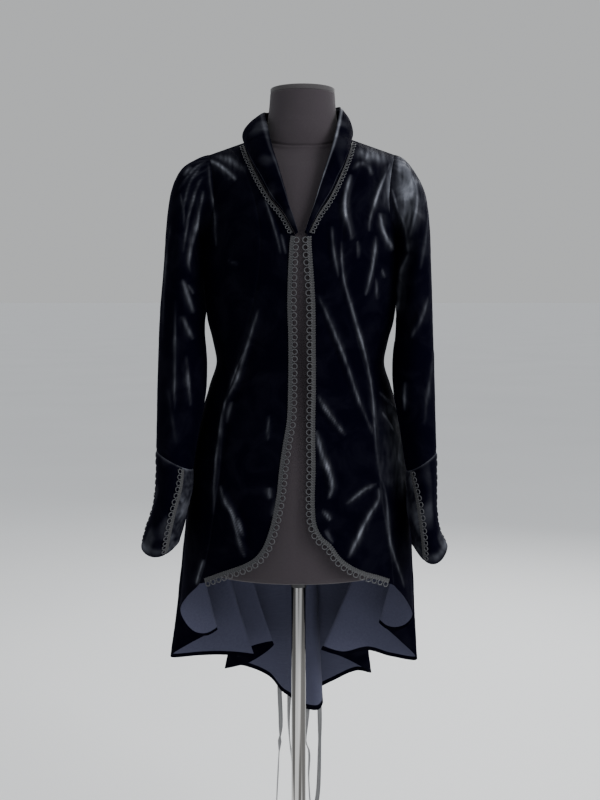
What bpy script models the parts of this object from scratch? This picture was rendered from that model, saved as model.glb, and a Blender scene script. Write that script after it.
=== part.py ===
# Gothic victorian jacket of stretch velvet on a limbless dress form with a steel pole.
# Metres, +Z up. The form faces -Y, so the wearer's left side is at +X.
# The origin is the middle of the underside of the base.
import math

import bmesh
import bpy
import numpy as np

for old in list(bpy.data.objects):
    bpy.data.objects.remove(old, do_unlink=True)

# Driving sizes
BASE_RADIUS = 0.16
BASE_HEIGHT = 0.018
POLE_RADIUS = 0.0125
SOCKET_RADIUS = 0.0135
SOCKET_BOTTOM = 0.648
FORM_BOTTOM = 0.680
NECK_TOP = 1.492
NECK_SEAM = 1.4830
LEAN = 0.0065
VELVET = 0.0016
COLLAR_CLOTH = 0.0030
COLLAR_STAND = 1.05
BRAID_GAP = 0.0009
TIE_GAP = 0.0012
GIMP_HEIGHT = 0.0018
GIMP_WIDTH = 0.016
SEAM_GIMP_WIDTH = 0.010
SEAM_REACH = 0.0010
CUFF_GIMP_WIDTH = 0.012
RIBBON_WIDTH = 0.009
RIBBON_CLOTH = 0.0008
GAP = 0.0003
HIP_LEVEL = 0.880
HEM_LEVEL = 0.672
SHOULDER_LEVEL = 1.437
UNDERARM_LEVEL = 1.243
CUTAWAY_LEVEL = 0.910
SIDE_SEAM_TURN = 86.0
SEAM_INSET = 0.00022
STITCH_GAP = 0.0005

# Rows of every body panel, from the shoulder to the underarm and on to the hem
ARM_LEVELS = [SHOULDER_LEVEL, 1.424, 1.408, 1.385, 1.350, 1.310, 1.275, 1.253, UNDERARM_LEVEL]
SKIRT_LEVELS = [1.170, 1.100, 1.037, 0.970, CUTAWAY_LEVEL, 0.870, 0.830, 0.795, 0.760, 0.730, 0.700, HEM_LEVEL]
LEVELS = ARM_LEVELS + SKIRT_LEVELS

# Sections of the jacket's body: level, half width, depth to the front and to the back, and how far
# the row drops for each metre away from the middle, so that the top row is the sloping shoulder
BODY = [
    # level, width, front, back, drop
    (1.437, 0.176, 0.004, 0.004, 0.345),
    (1.418, 0.176, 0.040, 0.048, 0.300),
    (1.385, 0.175, 0.068, 0.076, 0.210),
    (1.340, 0.172, 0.092, 0.091, 0.100),
    (1.290, 0.168, 0.110, 0.100, 0.030),
    (1.240, 0.165, 0.124, 0.103, 0.000),
    (1.190, 0.164, 0.131, 0.103, 0.000),
    (1.110, 0.157, 0.126, 0.100, 0.000),
    (1.075, 0.148, 0.118, 0.096, 0.000),
    (1.037, 0.1415, 0.111, 0.093, 0.000),
    (1.000, 0.1525, 0.110, 0.096, 0.000),
    (0.950, 0.1670, 0.115, 0.106, 0.000),
    (0.900, 0.1810, 0.121, 0.118, 0.000),
    (0.850, 0.1897, 0.127, 0.129, 0.000),
    (0.800, 0.1945, 0.131, 0.138, 0.000),
    (0.672, 0.198, 0.137, 0.152, 0.000),
]

# How far inside the jacket the dress form lies at each level
FORM = [
    # level, less width, less front, less back, lower
    (1.437, 0.024, 0.0010, 0.0010, 0.0016),
    (1.418, 0.023, 0.0040, 0.0040, 0.0014),
    (1.385, 0.021, 0.0060, 0.0060, 0.0010),
    (1.340, 0.018, 0.0060, 0.0060, 0.0000),
    (1.240, 0.013, 0.0060, 0.0060, 0.0000),
    (1.190, 0.012, 0.0060, 0.0060, 0.0000),
    (1.110, 0.013, 0.0120, 0.0080, 0.0000),
    (1.037, 0.019, 0.0150, 0.0110, 0.0000),
    (0.950, 0.017, 0.0120, 0.0110, 0.0000),
    (0.850, 0.014, 0.0090, 0.0110, 0.0000),
    (0.780, 0.020, 0.0110, 0.0180, 0.0000),
    (0.680, 0.036, 0.0200, 0.0350, 0.0000),
]

# The form's neck: height, half width, half depth
NECK = [
    (1.330, 0.088, 0.060),
    (1.385, 0.080, 0.060),
    (1.410, 0.069, 0.060),
    (1.428, 0.0600, 0.0585),
    (1.442, 0.0575, 0.0560),
    (1.460, 0.0555, 0.0540),
    (1.483, 0.0538, 0.0525),
]

# Hem of the tail from the end of the front braid to the centre back, one row for each turn of the
# cloth, for the wearer's right and left: distance out from the middle, depth, height
HEM_RIGHT = [
    (0.166, -0.0745, 0.670),
    (0.190, -0.042, 0.640),
    (0.206, 0.000, 0.604),
    (0.196, 0.013, 0.574),
    (0.180, 0.027, 0.554),
    (0.160, 0.040, 0.549),
    (0.144, 0.048, 0.557),
    (0.190, 0.062, 0.530),
    (0.233, 0.100, 0.490),
    (0.182, 0.122, 0.486),
    (0.127, 0.112, 0.490),
    (0.079, 0.098, 0.489),
    (0.112, 0.142, 0.477),
    (0.080, 0.160, 0.486),
    (0.046, 0.166, 0.491),
    (0.092, 0.190, 0.450),
    (0.141, 0.214, 0.429),
    (0.111, 0.241, 0.427),
    (0.057, 0.252, 0.402),
    (0.030, 0.253, 0.370),
    (0.010, 0.236, 0.362),
    (-0.010, 0.222, 0.3475),
]
HEM_LEFT = [
    (0.158, -0.0810, 0.672),
    (0.184, -0.046, 0.636),
    (0.200, 0.000, 0.594),
    (0.190, 0.016, 0.572),
    (0.172, 0.034, 0.560),
    (0.156, 0.046, 0.560),
    (0.145, 0.053, 0.568),
    (0.182, 0.070, 0.532),
    (0.219, 0.103, 0.484),
    (0.171, 0.124, 0.484),
    (0.128, 0.122, 0.496),
    (0.080, 0.112, 0.489),
    (0.043, 0.104, 0.502),
    (0.080, 0.150, 0.475),
    (0.112, 0.180, 0.450),
    (0.142, 0.208, 0.423),
    (0.116, 0.238, 0.417),
    (0.076, 0.250, 0.396),
    (0.035, 0.251, 0.370),
    (0.050, 0.232, 0.358),
    (0.040, 0.216, 0.346),
    (0.010, 0.222, 0.3475),
]

# Neckline shared by fronts, backs and collar: distance out on the wearer's left and right, level,
# and 1 in front or -1 behind. The collar sits a little to the wearer's right of the form's neck.
NECKLINE = [
    (0.0085, 0.0095, 1.243, 1),
    (0.0250, 0.0275, 1.277, 1),
    (0.0430, 0.0490, 1.306, 1),
    (0.0595, 0.0690, 1.346, 1),
    (0.0730, 0.0850, 1.391, 1),
    (0.0800, 0.0940, 1.425, 1),
    (0.0825, 0.0970, 1.437, 1),
    (0.0770, 0.0900, 1.424, -1),
    (0.0520, 0.0590, 1.408, -1),
    (0.0000, 0.0000, 1.401, -1),
]

# Free edge of the collar beside each row of the neckline: out, depth, height on the wearer's left
# and right, and bow of the cloth on the left and right
COLLAR_EDGE = [
    (0.0060, -0.1260, 1.252, 1.252, 0.001, 0.001),
    (0.0175, -0.1180, 1.285, 1.285, 0.003, 0.003),
    (0.0265, -0.1090, 1.318, 1.318, 0.005, 0.005),
    (0.0370, -0.0970, 1.354, 1.354, 0.007, 0.008),
    (0.0480, -0.0800, 1.390, 1.388, 0.009, 0.012),
    (0.0560, -0.0500, 1.426, 1.422, 0.008, 0.014),
    (0.0620, -0.0080, 1.458, 1.449, 0.007, 0.013),
    (0.0610, 0.0350, 1.468, 1.459, 0.007, 0.011),
    (0.0420, 0.0650, 1.469, 1.465, 0.007, 0.008),
    (0.0000, 0.0790, 1.469, 1.469, 0.007, 0.007),
]

# Velvet edge of each front between the neckline and the rounded corner: level, distance out
EDGE_RIGHT = [(1.243, 0.0095), (1.225, 0.0115), (1.142, 0.0140), (1.079, 0.0120), (0.999, 0.0120),
              (0.950, 0.0133), (0.910, 0.0195)]
EDGE_LEFT = [(1.243, 0.0085), (1.225, 0.0088), (1.142, 0.0150), (1.079, 0.0165), (0.999, 0.0178),
             (0.950, 0.0172), (0.910, 0.0175)]

# The rounded corner of each front below that: distance out, level
CORNER_RIGHT = [(0.0195, 0.910), (0.0250, 0.870), (0.0290, 0.828), (0.0365, 0.787), (0.0440, 0.760),
                (0.0535, 0.738), (0.0680, 0.7205), (0.0860, 0.709), (0.1060, 0.700), (0.1300, 0.689),
                (0.1540, 0.6765)]
CORNER_LEFT = [(0.0175, 0.910), (0.0183, 0.870), (0.0175, 0.820), (0.0205, 0.783), (0.0310, 0.760),
               (0.0470, 0.745), (0.0620, 0.724), (0.0830, 0.707), (0.1060, 0.695), (0.1280, 0.6865),
               (0.1480, 0.6770)]

# Shaped seam from the shoulder over the bust to the hem: level, distance out
PRINCESS = [(1.437, 0.1200), (1.395, 0.1030), (1.340, 0.0850), (1.290, 0.0720), (1.235, 0.0650),
            (1.173, 0.0690), (1.104, 0.0850), (1.050, 0.1000), (0.996, 0.1160), (0.930, 0.1260),
            (0.860, 0.1310), (0.780, 0.1420), (0.710, 0.1545)]

# Armhole seen from the front and from the back: level, distance out
ARMHOLE_FRONT = [(1.437, 0.1550), (1.405, 0.1500), (1.355, 0.1450), (1.312, 0.1430), (1.280, 0.1460),
                 (1.256, 0.1560)]
ARMHOLE_BACK = [(1.437, 0.1550), (1.405, 0.1520), (1.355, 0.1490), (1.312, 0.1480), (1.282, 0.1510),
                (1.258, 0.1590)]

# Inner end of each row of the back below the neckline: level of the row, distance out and level
# of its inner end
BACK_CENTRE = [(1.385, 0.0000, 1.401), (1.350, 0.0000, 1.365), (1.310, 0.0000, 1.320), (1.243, 0.0000, 1.243)]

# Sleeves, one row for each ring below the armhole: outer point (out, height), inner point
# (out, height), depth of the middle, half depth
SLEEVE_RIGHT = [
    (0.1790, 1.3740, 0.1680, 1.2350, -0.002, 0.060),
    (0.2010, 1.3570, 0.1665, 1.2180, -0.008, 0.0615),
    (0.2150, 1.3250, 0.1655, 1.1950, -0.016, 0.062),
    (0.2220, 1.2780, 0.1650, 1.1680, -0.022, 0.061),
    (0.2265, 1.2100, 0.1602, 1.1300, -0.026, 0.058),
    (0.2325, 1.1300, 0.1600, 1.0900, -0.030, 0.054),
    (0.2356, 1.0603, 0.1559, 1.0404, -0.037, 0.051),
    (0.2362, 0.9963, 0.1571, 0.9864, -0.048, 0.048),
    (0.2359, 0.9478, 0.1666, 0.9290, -0.060, 0.044),
    (0.2358, 0.8966, 0.1762, 0.8642, -0.070, 0.040),
]
SLEEVE_LEFT = [
    (0.1735, 1.3720, 0.1680, 1.2350, -0.002, 0.060),
    (0.1905, 1.3490, 0.1665, 1.2180, -0.008, 0.0615),
    (0.2050, 1.3160, 0.1655, 1.1950, -0.016, 0.062),
    (0.2115, 1.2720, 0.1650, 1.1680, -0.022, 0.061),
    (0.2145, 1.2100, 0.1602, 1.1300, -0.026, 0.058),
    (0.2182, 1.1300, 0.1590, 1.0900, -0.030, 0.054),
    (0.2207, 1.0603, 0.1544, 1.0404, -0.037, 0.051),
    (0.2221, 0.9963, 0.1566, 0.9864, -0.048, 0.048),
    (0.2233, 0.9478, 0.1666, 0.9280, -0.060, 0.044),
    (0.2250, 0.8946, 0.1770, 0.8622, -0.070, 0.040),
]

# Cuffs, one row for each ring: the same columns; the last row is the lower edge
CUFF_RIGHT = [
    (0.2358, 0.8964, 0.1762, 0.8640, -0.070, 0.0400),
    (0.2362, 0.8483, 0.1773, 0.8297, -0.070, 0.0420),
    (0.2412, 0.8030, 0.1857, 0.7951, -0.070, 0.0450),
    (0.2537, 0.7644, 0.1927, 0.7625, -0.070, 0.0480),
    (0.2607, 0.7367, 0.1997, 0.7416, -0.070, 0.0500),
]
CUFF_LEFT = [
    (0.2250, 0.8944, 0.1770, 0.8620, -0.070, 0.0400),
    (0.2264, 0.8454, 0.1785, 0.8267, -0.070, 0.0420),
    (0.2275, 0.8000, 0.1805, 0.7912, -0.070, 0.0450),
    (0.2328, 0.7644, 0.1868, 0.7595, -0.070, 0.0480),
    (0.2459, 0.7367, 0.1894, 0.7367, -0.070, 0.0500),
]

# How far each cuff's lower edge drops in the middle of its front and back
CUFF_LOBE = {"Right": 0.012, "Left": 0.021}

# Where the braid lies round each cuff, in degrees from the outer side towards the front: at the
# seam, half way down and at the lower edge for the front line, and the outer line
CUFF_BRAID = {
    "Right": {"front": (123.0, 110.0, 115.0), "outer": -14.0},
    "Left": {"front": (138.0, 107.0, 116.0), "outer": -14.0},
}

# Ribbons behind: the tie lies round the waist, and each tail hangs from the knot over the back of
# the skirt and then free. Columns: X, Y, Z
TAILS = {
    "Tail1": [(-0.0060, 0.0975, 1.0265), (-0.0105, 0.1015, 0.990), (-0.0150, 0.1085, 0.960),
              (-0.0245, 0.1205, 0.910), (-0.0325, 0.1285, 0.860), (-0.0385, 0.1395, 0.800),
              (-0.0420, 0.1535, 0.740), (-0.0435, 0.1690, 0.680), (-0.0440, 0.1860, 0.620),
              (-0.0440, 0.2035, 0.560), (-0.0430, 0.2230, 0.500), (-0.0410, 0.2410, 0.450),
              (-0.0390, 0.2570, 0.400), (-0.0380, 0.2600, 0.365), (-0.0360, 0.2600, 0.300),
              (-0.0390, 0.2595, 0.250), (-0.0425, 0.2590, 0.180), (-0.0455, 0.2580, 0.118)],
    "Tail2": [(-0.0052, 0.1000, 1.0265), (-0.0080, 0.1050, 0.985), (-0.0110, 0.1120, 0.955),
              (-0.0150, 0.1235, 0.905), (-0.0180, 0.1310, 0.855), (-0.0200, 0.1415, 0.795),
              (-0.0210, 0.1540, 0.735), (-0.0210, 0.1680, 0.675), (-0.0210, 0.1840, 0.615),
              (-0.0205, 0.1995, 0.555), (-0.0200, 0.2160, 0.495), (-0.0190, 0.2300, 0.445),
              (-0.0185, 0.2455, 0.395), (-0.0190, 0.2515, 0.360), (-0.0200, 0.2520, 0.310),
              (-0.0175, 0.2515, 0.265), (-0.0120, 0.2510, 0.220), (-0.0060, 0.2500, 0.130)],
    "Tail3": [(0.0052, 0.1000, 1.0265), (0.0075, 0.1050, 0.985), (0.0100, 0.1120, 0.955),
              (0.0130, 0.1230, 0.905), (0.0155, 0.1300, 0.855), (0.0165, 0.1385, 0.795),
              (0.0170, 0.1490, 0.735), (0.0175, 0.1590, 0.675), (0.0175, 0.1695, 0.615),
              (0.0175, 0.1800, 0.555), (0.0178, 0.1920, 0.495), (0.0180, 0.2040, 0.445),
              (0.0178, 0.2150, 0.395), (0.0175, 0.2250, 0.350), (0.0150, 0.2270, 0.310),
              (0.0140, 0.2270, 0.277), (0.0205, 0.2265, 0.257), (0.0195, 0.2260, 0.206),
              (0.0240, 0.2250, 0.128)],
    "Tail4": [(0.0060, 0.0975, 1.0265), (0.0105, 0.1015, 0.990), (0.0150, 0.1085, 0.960),
              (0.0245, 0.1205, 0.910), (0.0325, 0.1285, 0.860), (0.0385, 0.1390, 0.800),
              (0.0420, 0.1520, 0.740), (0.0435, 0.1665, 0.680), (0.0440, 0.1830, 0.620),
              (0.0440, 0.1995, 0.560), (0.0430, 0.2190, 0.500), (0.0420, 0.2360, 0.450),
              (0.0415, 0.2520, 0.400), (0.0410, 0.2590, 0.365), (0.0420, 0.2600, 0.300),
              (0.0415, 0.2595, 0.250), (0.0390, 0.2590, 0.165), (0.0330, 0.2580, 0.121)],
}
TIE_LEVEL = 1.037
TIE_TURN = 112.0
TIE_END_TURN = 174.6
KNOT_SIZE = (0.024, 0.012, 0.020)

COLOURS = {
    "velvet": ((0.010, 0.011, 0.020), 0.55, 0.0),
    "gimp": ((0.030, 0.031, 0.035), 0.60, 0.0),
    "ribbon": ((0.180, 0.180, 0.185), 0.50, 0.0),
    "jersey": ((0.045, 0.041, 0.043), 0.90, 0.0),
    "cap": ((0.075, 0.072, 0.074), 0.80, 0.0),
    "socket": ((0.012, 0.012, 0.013), 0.50, 0.0),
    "chrome": ((0.620, 0.620, 0.630), 0.15, 1.0),
    "base": ((0.030, 0.030, 0.032), 0.45, 0.0),
}


def smooth(keys, values, at):
    """Smooth curve through the rows of values, read at a key."""
    keys = np.asarray(keys, float)
    values = np.asarray(values, float)
    count = len(keys)
    spot = min(max(int(np.searchsorted(keys, at)) - 1, 0), count - 2)
    left, right = max(spot - 1, 0), min(spot + 2, count - 1)
    width = keys[spot + 1] - keys[spot]
    t = (at - keys[spot]) / width
    slopeA = (values[spot + 1] - values[left]) / (keys[spot + 1] - keys[left])
    slopeB = (values[right] - values[spot]) / (keys[right] - keys[spot])
    if t < 0:
        return values[spot] + slopeA * t * width
    if t > 1:
        return values[spot + 1] + slopeB * (t - 1) * width
    t2, t3 = t * t, t * t * t
    return (values[spot] * (2 * t3 - 3 * t2 + 1) + slopeA * width * (t3 - 2 * t2 + t)
            + values[spot + 1] * (3 * t2 - 2 * t3) + slopeB * width * (t3 - t2))


def chordKeys(points):
    """Distance along the points, from 0 to 1."""
    points = np.asarray(points, float)
    steps = np.linalg.norm(np.diff(points, axis=0), axis=1)
    total = np.concatenate([[0.0], np.cumsum(steps)])
    return total / total[-1]


def unit(vector):
    return vector / max(float(np.linalg.norm(vector)), 1e-12)


def leanAt(height):
    return LEAN * (height - FORM_BOTTOM) / (1.45 - FORM_BOTTOM)


BODY_ROWS = np.array(sorted(BODY))
FORM_ROWS = np.array(sorted(FORM))
HEMS = {1: np.array(HEM_LEFT), -1: np.array(HEM_RIGHT)}
HEM_KEYS = {side: chordKeys(rows) for side, rows in HEMS.items()}
HEM_WIDTH = BODY_ROWS[0, 1]
HEM_START = {side: math.degrees(math.asin(rows[0, 0] / HEM_WIDTH)) for side, rows in HEMS.items()}


def section(level):
    return smooth(BODY_ROWS[:, 0], BODY_ROWS[:, 1:], level)


def turnAt(out, level, face=1):
    """Turn from the centre front, in degrees, of a point so far out from the middle."""
    turn = math.degrees(math.asin(min(out / section(level)[0], 1.0)))
    return turn if face > 0 else 180.0 - turn


def bodyPoint(side, turn, level):
    """Point of the jacket's body. Below the hips the cloth swings to its folded hem."""
    width, front, back, drop = section(max(level, HEM_LEVEL))
    angle = math.radians(turn)
    out = width * math.sin(angle)
    depth = -front * math.cos(angle) if turn <= 90.0 else -back * math.cos(angle)
    height = level - drop * out
    if level < HIP_LEVEL:
        share = (HIP_LEVEL - level) / (HIP_LEVEL - HEM_LEVEL)
        turned = (turn - HEM_START[side]) / (180.0 - HEM_START[side])
        if turned > 0:
            low = section(HEM_LEVEL)
            foot = smooth(HEM_KEYS[side], HEMS[side], min(turned, 1.0))
            lowDepth = -(low[1] if turn <= 90.0 else low[2]) * math.cos(angle)
            out += (foot[0] - low[0] * math.sin(angle)) * share ** 1.5
            depth += (foot[1] - lowDepth) * share ** 1.5
            height += (foot[2] - HEM_LEVEL) * share
    return np.array([side * out + leanAt(height), depth, height])


def pieceObject(name, vertices, faces, material):
    """A named object from points and faces, smooth shaded, with its own material."""
    mesh = bpy.data.meshes.new(name)
    mesh.from_pydata([tuple(map(float, v)) for v in vertices], [], faces)
    mesh.validate()
    shell = bmesh.new()
    shell.from_mesh(mesh)
    bmesh.ops.recalc_face_normals(shell, faces=shell.faces)
    shell.to_mesh(mesh)
    shell.free()
    mesh.shade_smooth()
    mesh.set_sharp_from_angle(angle=math.radians(40))
    piece = bpy.data.objects.new(name, mesh)
    bpy.context.scene.collection.objects.link(piece)
    colour, roughness, metallic = COLOURS[material]
    look = bpy.data.materials.new(name + "Look")
    look.use_nodes = True
    shader = look.node_tree.nodes["Principled BSDF"]
    shader.inputs["Base Color"].default_value = (*colour, 1.0)
    shader.inputs["Roughness"].default_value = roughness
    shader.inputs["Metallic"].default_value = metallic
    mesh.materials.append(look)
    return piece


def gridNormals(point, downs, acrosses, outward):
    """Points and unit normals of a surface read at the given places. The normals keep one side of
    the cloth all over, through its folds: the side that mostly faces the outward direction."""
    step = 0.0015
    places = np.zeros((len(downs), len(acrosses), 3))
    normals = np.zeros_like(places)
    low, high = min(downs), max(downs)
    facing = 0.0
    for i, v in enumerate(downs):
        for j, u in enumerate(acrosses):
            places[i, j] = point(u, v)
            down = point(u, min(v + step, high)) - point(u, max(v - step, low))
            across = point(u + step, v) - point(u - step, v)
            normals[i, j] = unit(np.cross(across, down))
            facing += float(normals[i, j] @ outward(places[i, j]))
    return places, normals if facing > 0 else -normals


def wall(name, point, downs, acrosses, thickness, material, outward, inset=(0, 0, 0, 0), closed=False):
    """A cloth wall of even thickness about a surface. The inset pulls the first and last row and
    the first and last column back, which leaves the gap at each seam."""
    places, normals = gridNormals(point, downs, acrosses, outward)
    moved = places.copy()
    moved[0] += inset[0] * np.array([unit(d) for d in places[1] - places[0]])
    moved[-1] += inset[1] * np.array([unit(d) for d in places[-2] - places[-1]])
    if not closed:
        moved[:, 0] += inset[2] * np.array([unit(d) for d in places[:, 1] - places[:, 0]])
        moved[:, -1] += inset[3] * np.array([unit(d) for d in places[:, -2] - places[:, -1]])
    return wallFromGrid(name, moved, normals, thickness, material, closed)


def wallFromGrid(name, places, normals, thickness, material, closed=False):
    """A wall from a grid of middle points and their normals."""
    high, wide = places.shape[:2]
    outer = (places + normals * thickness / 2).reshape(-1, 3)
    inner = (places - normals * thickness / 2).reshape(-1, 3)
    vertices = list(outer) + list(inner)
    shift = high * wide
    faces = []
    spans = wide if closed else wide - 1
    for i in range(high - 1):
        for j in range(spans):
            k = (j + 1) % wide
            a, b, c, d = i * wide + j, i * wide + k, (i + 1) * wide + k, (i + 1) * wide + j
            faces += [(a, b, c, d), (a + shift, d + shift, c + shift, b + shift)]
    for j in range(spans):
        k = (j + 1) % wide
        top, nextTop = j, k
        low, nextLow = (high - 1) * wide + j, (high - 1) * wide + k
        faces += [(top, top + shift, nextTop + shift, nextTop), (low, nextLow, nextLow + shift, low + shift)]
    if not closed:
        for i in range(high - 1):
            a, b = i * wide, (i + 1) * wide
            c, d = i * wide + wide - 1, (i + 1) * wide + wide - 1
            faces += [(a, b, b + shift, a + shift), (c, c + shift, d + shift, d)]
    return pieceObject(name, vertices, faces, material)


def loft(name, rings, material, ridge=False):
    """A closed solid through rings of equal count, with flat ends, or a ridge at the top."""
    count = len(rings[0])
    vertices = [p for ring in rings for p in ring]
    faces = [tuple(range(count))[::-1]]
    for i in range(len(rings) - 1):
        for j in range(count):
            k = (j + 1) % count
            faces.append((i * count + j, i * count + k, (i + 1) * count + k, (i + 1) * count + j))
    last = (len(rings) - 1) * count
    if ridge:
        # The rings start at the side, so point j faces its partner count - j across the ridge
        half = count // 2
        faces.append((last, last + 1, last + count - 1))
        for j in range(1, half - 1):
            faces.append((last + j, last + j + 1, last + count - j - 1, last + count - j))
        faces.append((last + half - 1, last + half, last + half + 1))
    else:
        faces.append(tuple(last + j for j in range(count)))
    return pieceObject(name, vertices, faces, material)


def byLevel(rows):
    """Curve through rows whose first column is a level."""
    rows = np.array(sorted(rows))
    return lambda level: smooth(rows[:, 0], rows[:, 1:], level)


def boundary(rows):
    """Curve through rows of numbers, read from 0 to 1 by their distance apart."""
    rows = np.asarray(rows, float)
    keys = chordKeys(rows)
    return lambda v: smooth(keys, rows, v)


def neckRows(side):
    """Neckline on one side: distance out, level, and 1 in front or -1 behind."""
    return [(left if side > 0 else right, level, face) for left, right, level, face in NECKLINE]


def frontEdge(side):
    """Free edge of a front beside each row: distance out and level."""
    neck = byLevel([(level, out) for out, level, face in neckRows(side) if face > 0])
    edge = byLevel(EDGE_LEFT if side > 0 else EDGE_RIGHT)
    corner = boundary(CORNER_LEFT if side > 0 else CORNER_RIGHT)

    def at(level):
        if level >= UNDERARM_LEVEL:
            return float(neck(level)[0]), level
        if level >= CUTAWAY_LEVEL:
            return float(edge(level)[0]), level
        return corner((CUTAWAY_LEVEL - level) / (CUTAWAY_LEVEL - HEM_LEVEL))
    return at


def princessSeam(side):
    return byLevel(PRINCESS + [(HEM_LEVEL, HEMS[side][0][0])])


def sideTurn(side, face):
    """Turn of the armhole above the underarm, and of the side seam below it."""
    arm = byLevel([(level, turnAt(out, level, face)) for level, out in (
        ARMHOLE_FRONT if face > 0 else ARMHOLE_BACK)] + [(UNDERARM_LEVEL, SIDE_SEAM_TURN)])
    return lambda level: float(arm(level)[0]) if level > UNDERARM_LEVEL else SIDE_SEAM_TURN


def frontPanel(side):
    """Centre front, from its free edge to the shaped seam."""
    inner, outer = frontEdge(side), princessSeam(side)

    def point(u, level):
        a = inner(level)
        turnA, turnB = turnAt(a[0], a[1]), turnAt(float(outer(level)[0]), level)
        return bodyPoint(side, turnA + (turnB - turnA) * u, a[1] + (level - a[1]) * u)
    return point


def sidePanel(side):
    """Side front, from the shaped seam to the armhole and side seam."""
    inner, outer = princessSeam(side), sideTurn(side, 1)

    def point(u, level):
        turnA, turnB = turnAt(float(inner(level)[0]), level), outer(level)
        return bodyPoint(side, turnA + (turnB - turnA) * u, level)
    return point


def backPanel(side):
    """Back, from the armhole and side seam to the neckline and centre back seam."""
    neck = [(level, out, level) for out, level, face in neckRows(side)
            if level == SHOULDER_LEVEL or (face < 0 and out > 0)]
    outer, inner = sideTurn(side, -1), byLevel(BACK_CENTRE + neck)

    def point(u, level):
        out, end = inner(level) if level > UNDERARM_LEVEL else (0.0, level)
        turnA, turnB = outer(level), min(turnAt(max(out, 0.0), end, -1), 180.0)
        return bodyPoint(side, turnA + (turnB - turnA) * u, level + (end - level) * u)
    return point


def armholeLoop(side):
    """The armhole from the shoulder round the front, under the arm and up the back, one point for
    each row of the panels."""
    front, back = sideTurn(side, 1), sideTurn(side, -1)
    loop = [bodyPoint(side, front(level), level) for level in ARM_LEVELS]
    loop += [bodyPoint(side, back(level), level) for level in ARM_LEVELS[-2:0:-1]]
    loop = np.array(loop)
    count = len(loop)

    def point(around):
        place = (around % 1.0) * count
        whole = np.array([loop[(int(place) + shift) % count] for shift in (-1, 0, 1, 2)])
        return smooth([-1, 0, 1, 2], whole, place - int(place))
    return point


def ringPoint(side, row, angle):
    """Point of a sleeve or cuff ring. Angle 0 is the outer side and 90 the front."""
    outX, outZ, inX, inZ, midY, half = row[:6]
    turn = math.radians(angle)
    share = (1 + math.cos(turn)) / 2
    out = inX + (outX - inX) * share
    height = inZ + (outZ - inZ) * share
    return np.array([side * out + leanAt(height), midY - half * math.sin(turn), height])


def ringCentre(side, rows):
    """Middle of a sleeve or cuff at each height."""
    middle = byLevel([((row[1] + row[3]) / 2, (row[0] + row[2]) / 2, row[4]) for row in rows])

    def outward(place):
        out, depth = middle(place[2])
        return np.array([place[0] - side * out - leanAt(place[2]), place[1] - depth, 0.0])
    return outward


def sleeveSurface(side):
    rows = np.array(SLEEVE_LEFT if side > 0 else SLEEVE_RIGHT)
    loop = armholeLoop(side)

    def point(u, v):
        around = u % 1.0
        under = (1 - math.cos(2 * math.pi * around)) / 2
        first = loop(around) + np.array([side * (STITCH_GAP + 0.0020 * under), 0, 0])
        rings = [first] + [ringPoint(side, row, 360.0 * around) for row in rows]
        return smooth(range(len(rings)), rings, v * len(rows))
    return point


def cuffSurface(side):
    """Cuff, read by angle in degrees and from 0 at the seam to 1 at the lower edge."""
    rows = np.array(CUFF_LEFT if side > 0 else CUFF_RIGHT)
    lobe = CUFF_LOBE["Left" if side > 0 else "Right"]

    def point(angle, v):
        row = smooth(range(len(rows)), rows, v * (len(rows) - 1))
        place = ringPoint(side, row, angle)
        place[2] -= lobe * math.sin(math.radians(angle)) ** 2 * max(v, 0.0) ** 2
        return place
    return point


def cuffPanel(side, top):
    """Top panel between the two lines of braid, or the under panel on the rest of the cuff."""
    braid = CUFF_BRAID["Left" if side > 0 else "Right"]
    surface = cuffSurface(side)

    def point(u, v):
        front = float(smooth((0, 0.5, 1), braid["front"], v))
        start, end = (braid["outer"], front) if top else (front, braid["outer"] + 360.0)
        return surface(start + (end - start) * u, v)
    return point


def bodyOutward(place):
    return np.array([place[0] - leanAt(place[2]), place[1], 0.25 if place[2] > 1.3 else 0.0])


def collarSeam(side):
    return [bodyPoint(side, turnAt(out, level, face), level) for out, level, face in neckRows(side)]


def collarSurface(side):
    """Collar, read from the V at 0 round to the centre back at 1, and from its seam to its edge."""
    seam = collarSeam(side)
    heights = [row[2] if side > 0 else row[3] for row in COLLAR_EDGE]
    bows = [row[4] if side > 0 else row[5] for row in COLLAR_EDGE]
    edge = [(side * row[0] + leanAt(height), row[1], height) for row, height in zip(COLLAR_EDGE, heights)]
    stations = range(len(seam))

    def point(u, v):
        place = v * (len(seam) - 1)
        low = smooth(stations, seam, place)
        high = smooth(stations, edge, place)
        bow = float(smooth(stations, bows, place))
        away = bodyOutward(low) * np.array([1, 1, 0])
        low = low + unit(high - low) * (VELVET / 2 + COLLAR_CLOTH / 2) * COLLAR_STAND
        return low + (high - low) * u + unit(away) * bow * math.sin(math.pi * min(max(u, 0), 1)) ** 0.8
    return point


def slide(side, turn, level, move):
    """Turn and level after a small move along the body's surface."""
    step = 0.05
    acrossTurn = (bodyPoint(side, turn + step, level) - bodyPoint(side, turn - step, level)) / (2 * step)
    acrossLevel = (bodyPoint(side, turn, level + 0.0005) - bodyPoint(side, turn, level - 0.0005)) / 0.001
    answer = np.linalg.lstsq(np.stack([acrossTurn, acrossLevel], axis=1), move, rcond=None)[0]
    return turn + float(answer[0]), level + float(answer[1])


def bodyNormal(side, turn, level):
    acrossTurn = bodyPoint(side, turn + 0.1, level) - bodyPoint(side, turn - 0.1, level)
    acrossLevel = bodyPoint(side, turn, level + 0.0005) - bodyPoint(side, turn, level - 0.0005)
    normal = unit(np.cross(acrossTurn, acrossLevel))
    here = bodyPoint(side, turn, level)
    return normal if float(normal @ bodyOutward(here)) > 0 else -normal


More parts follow.
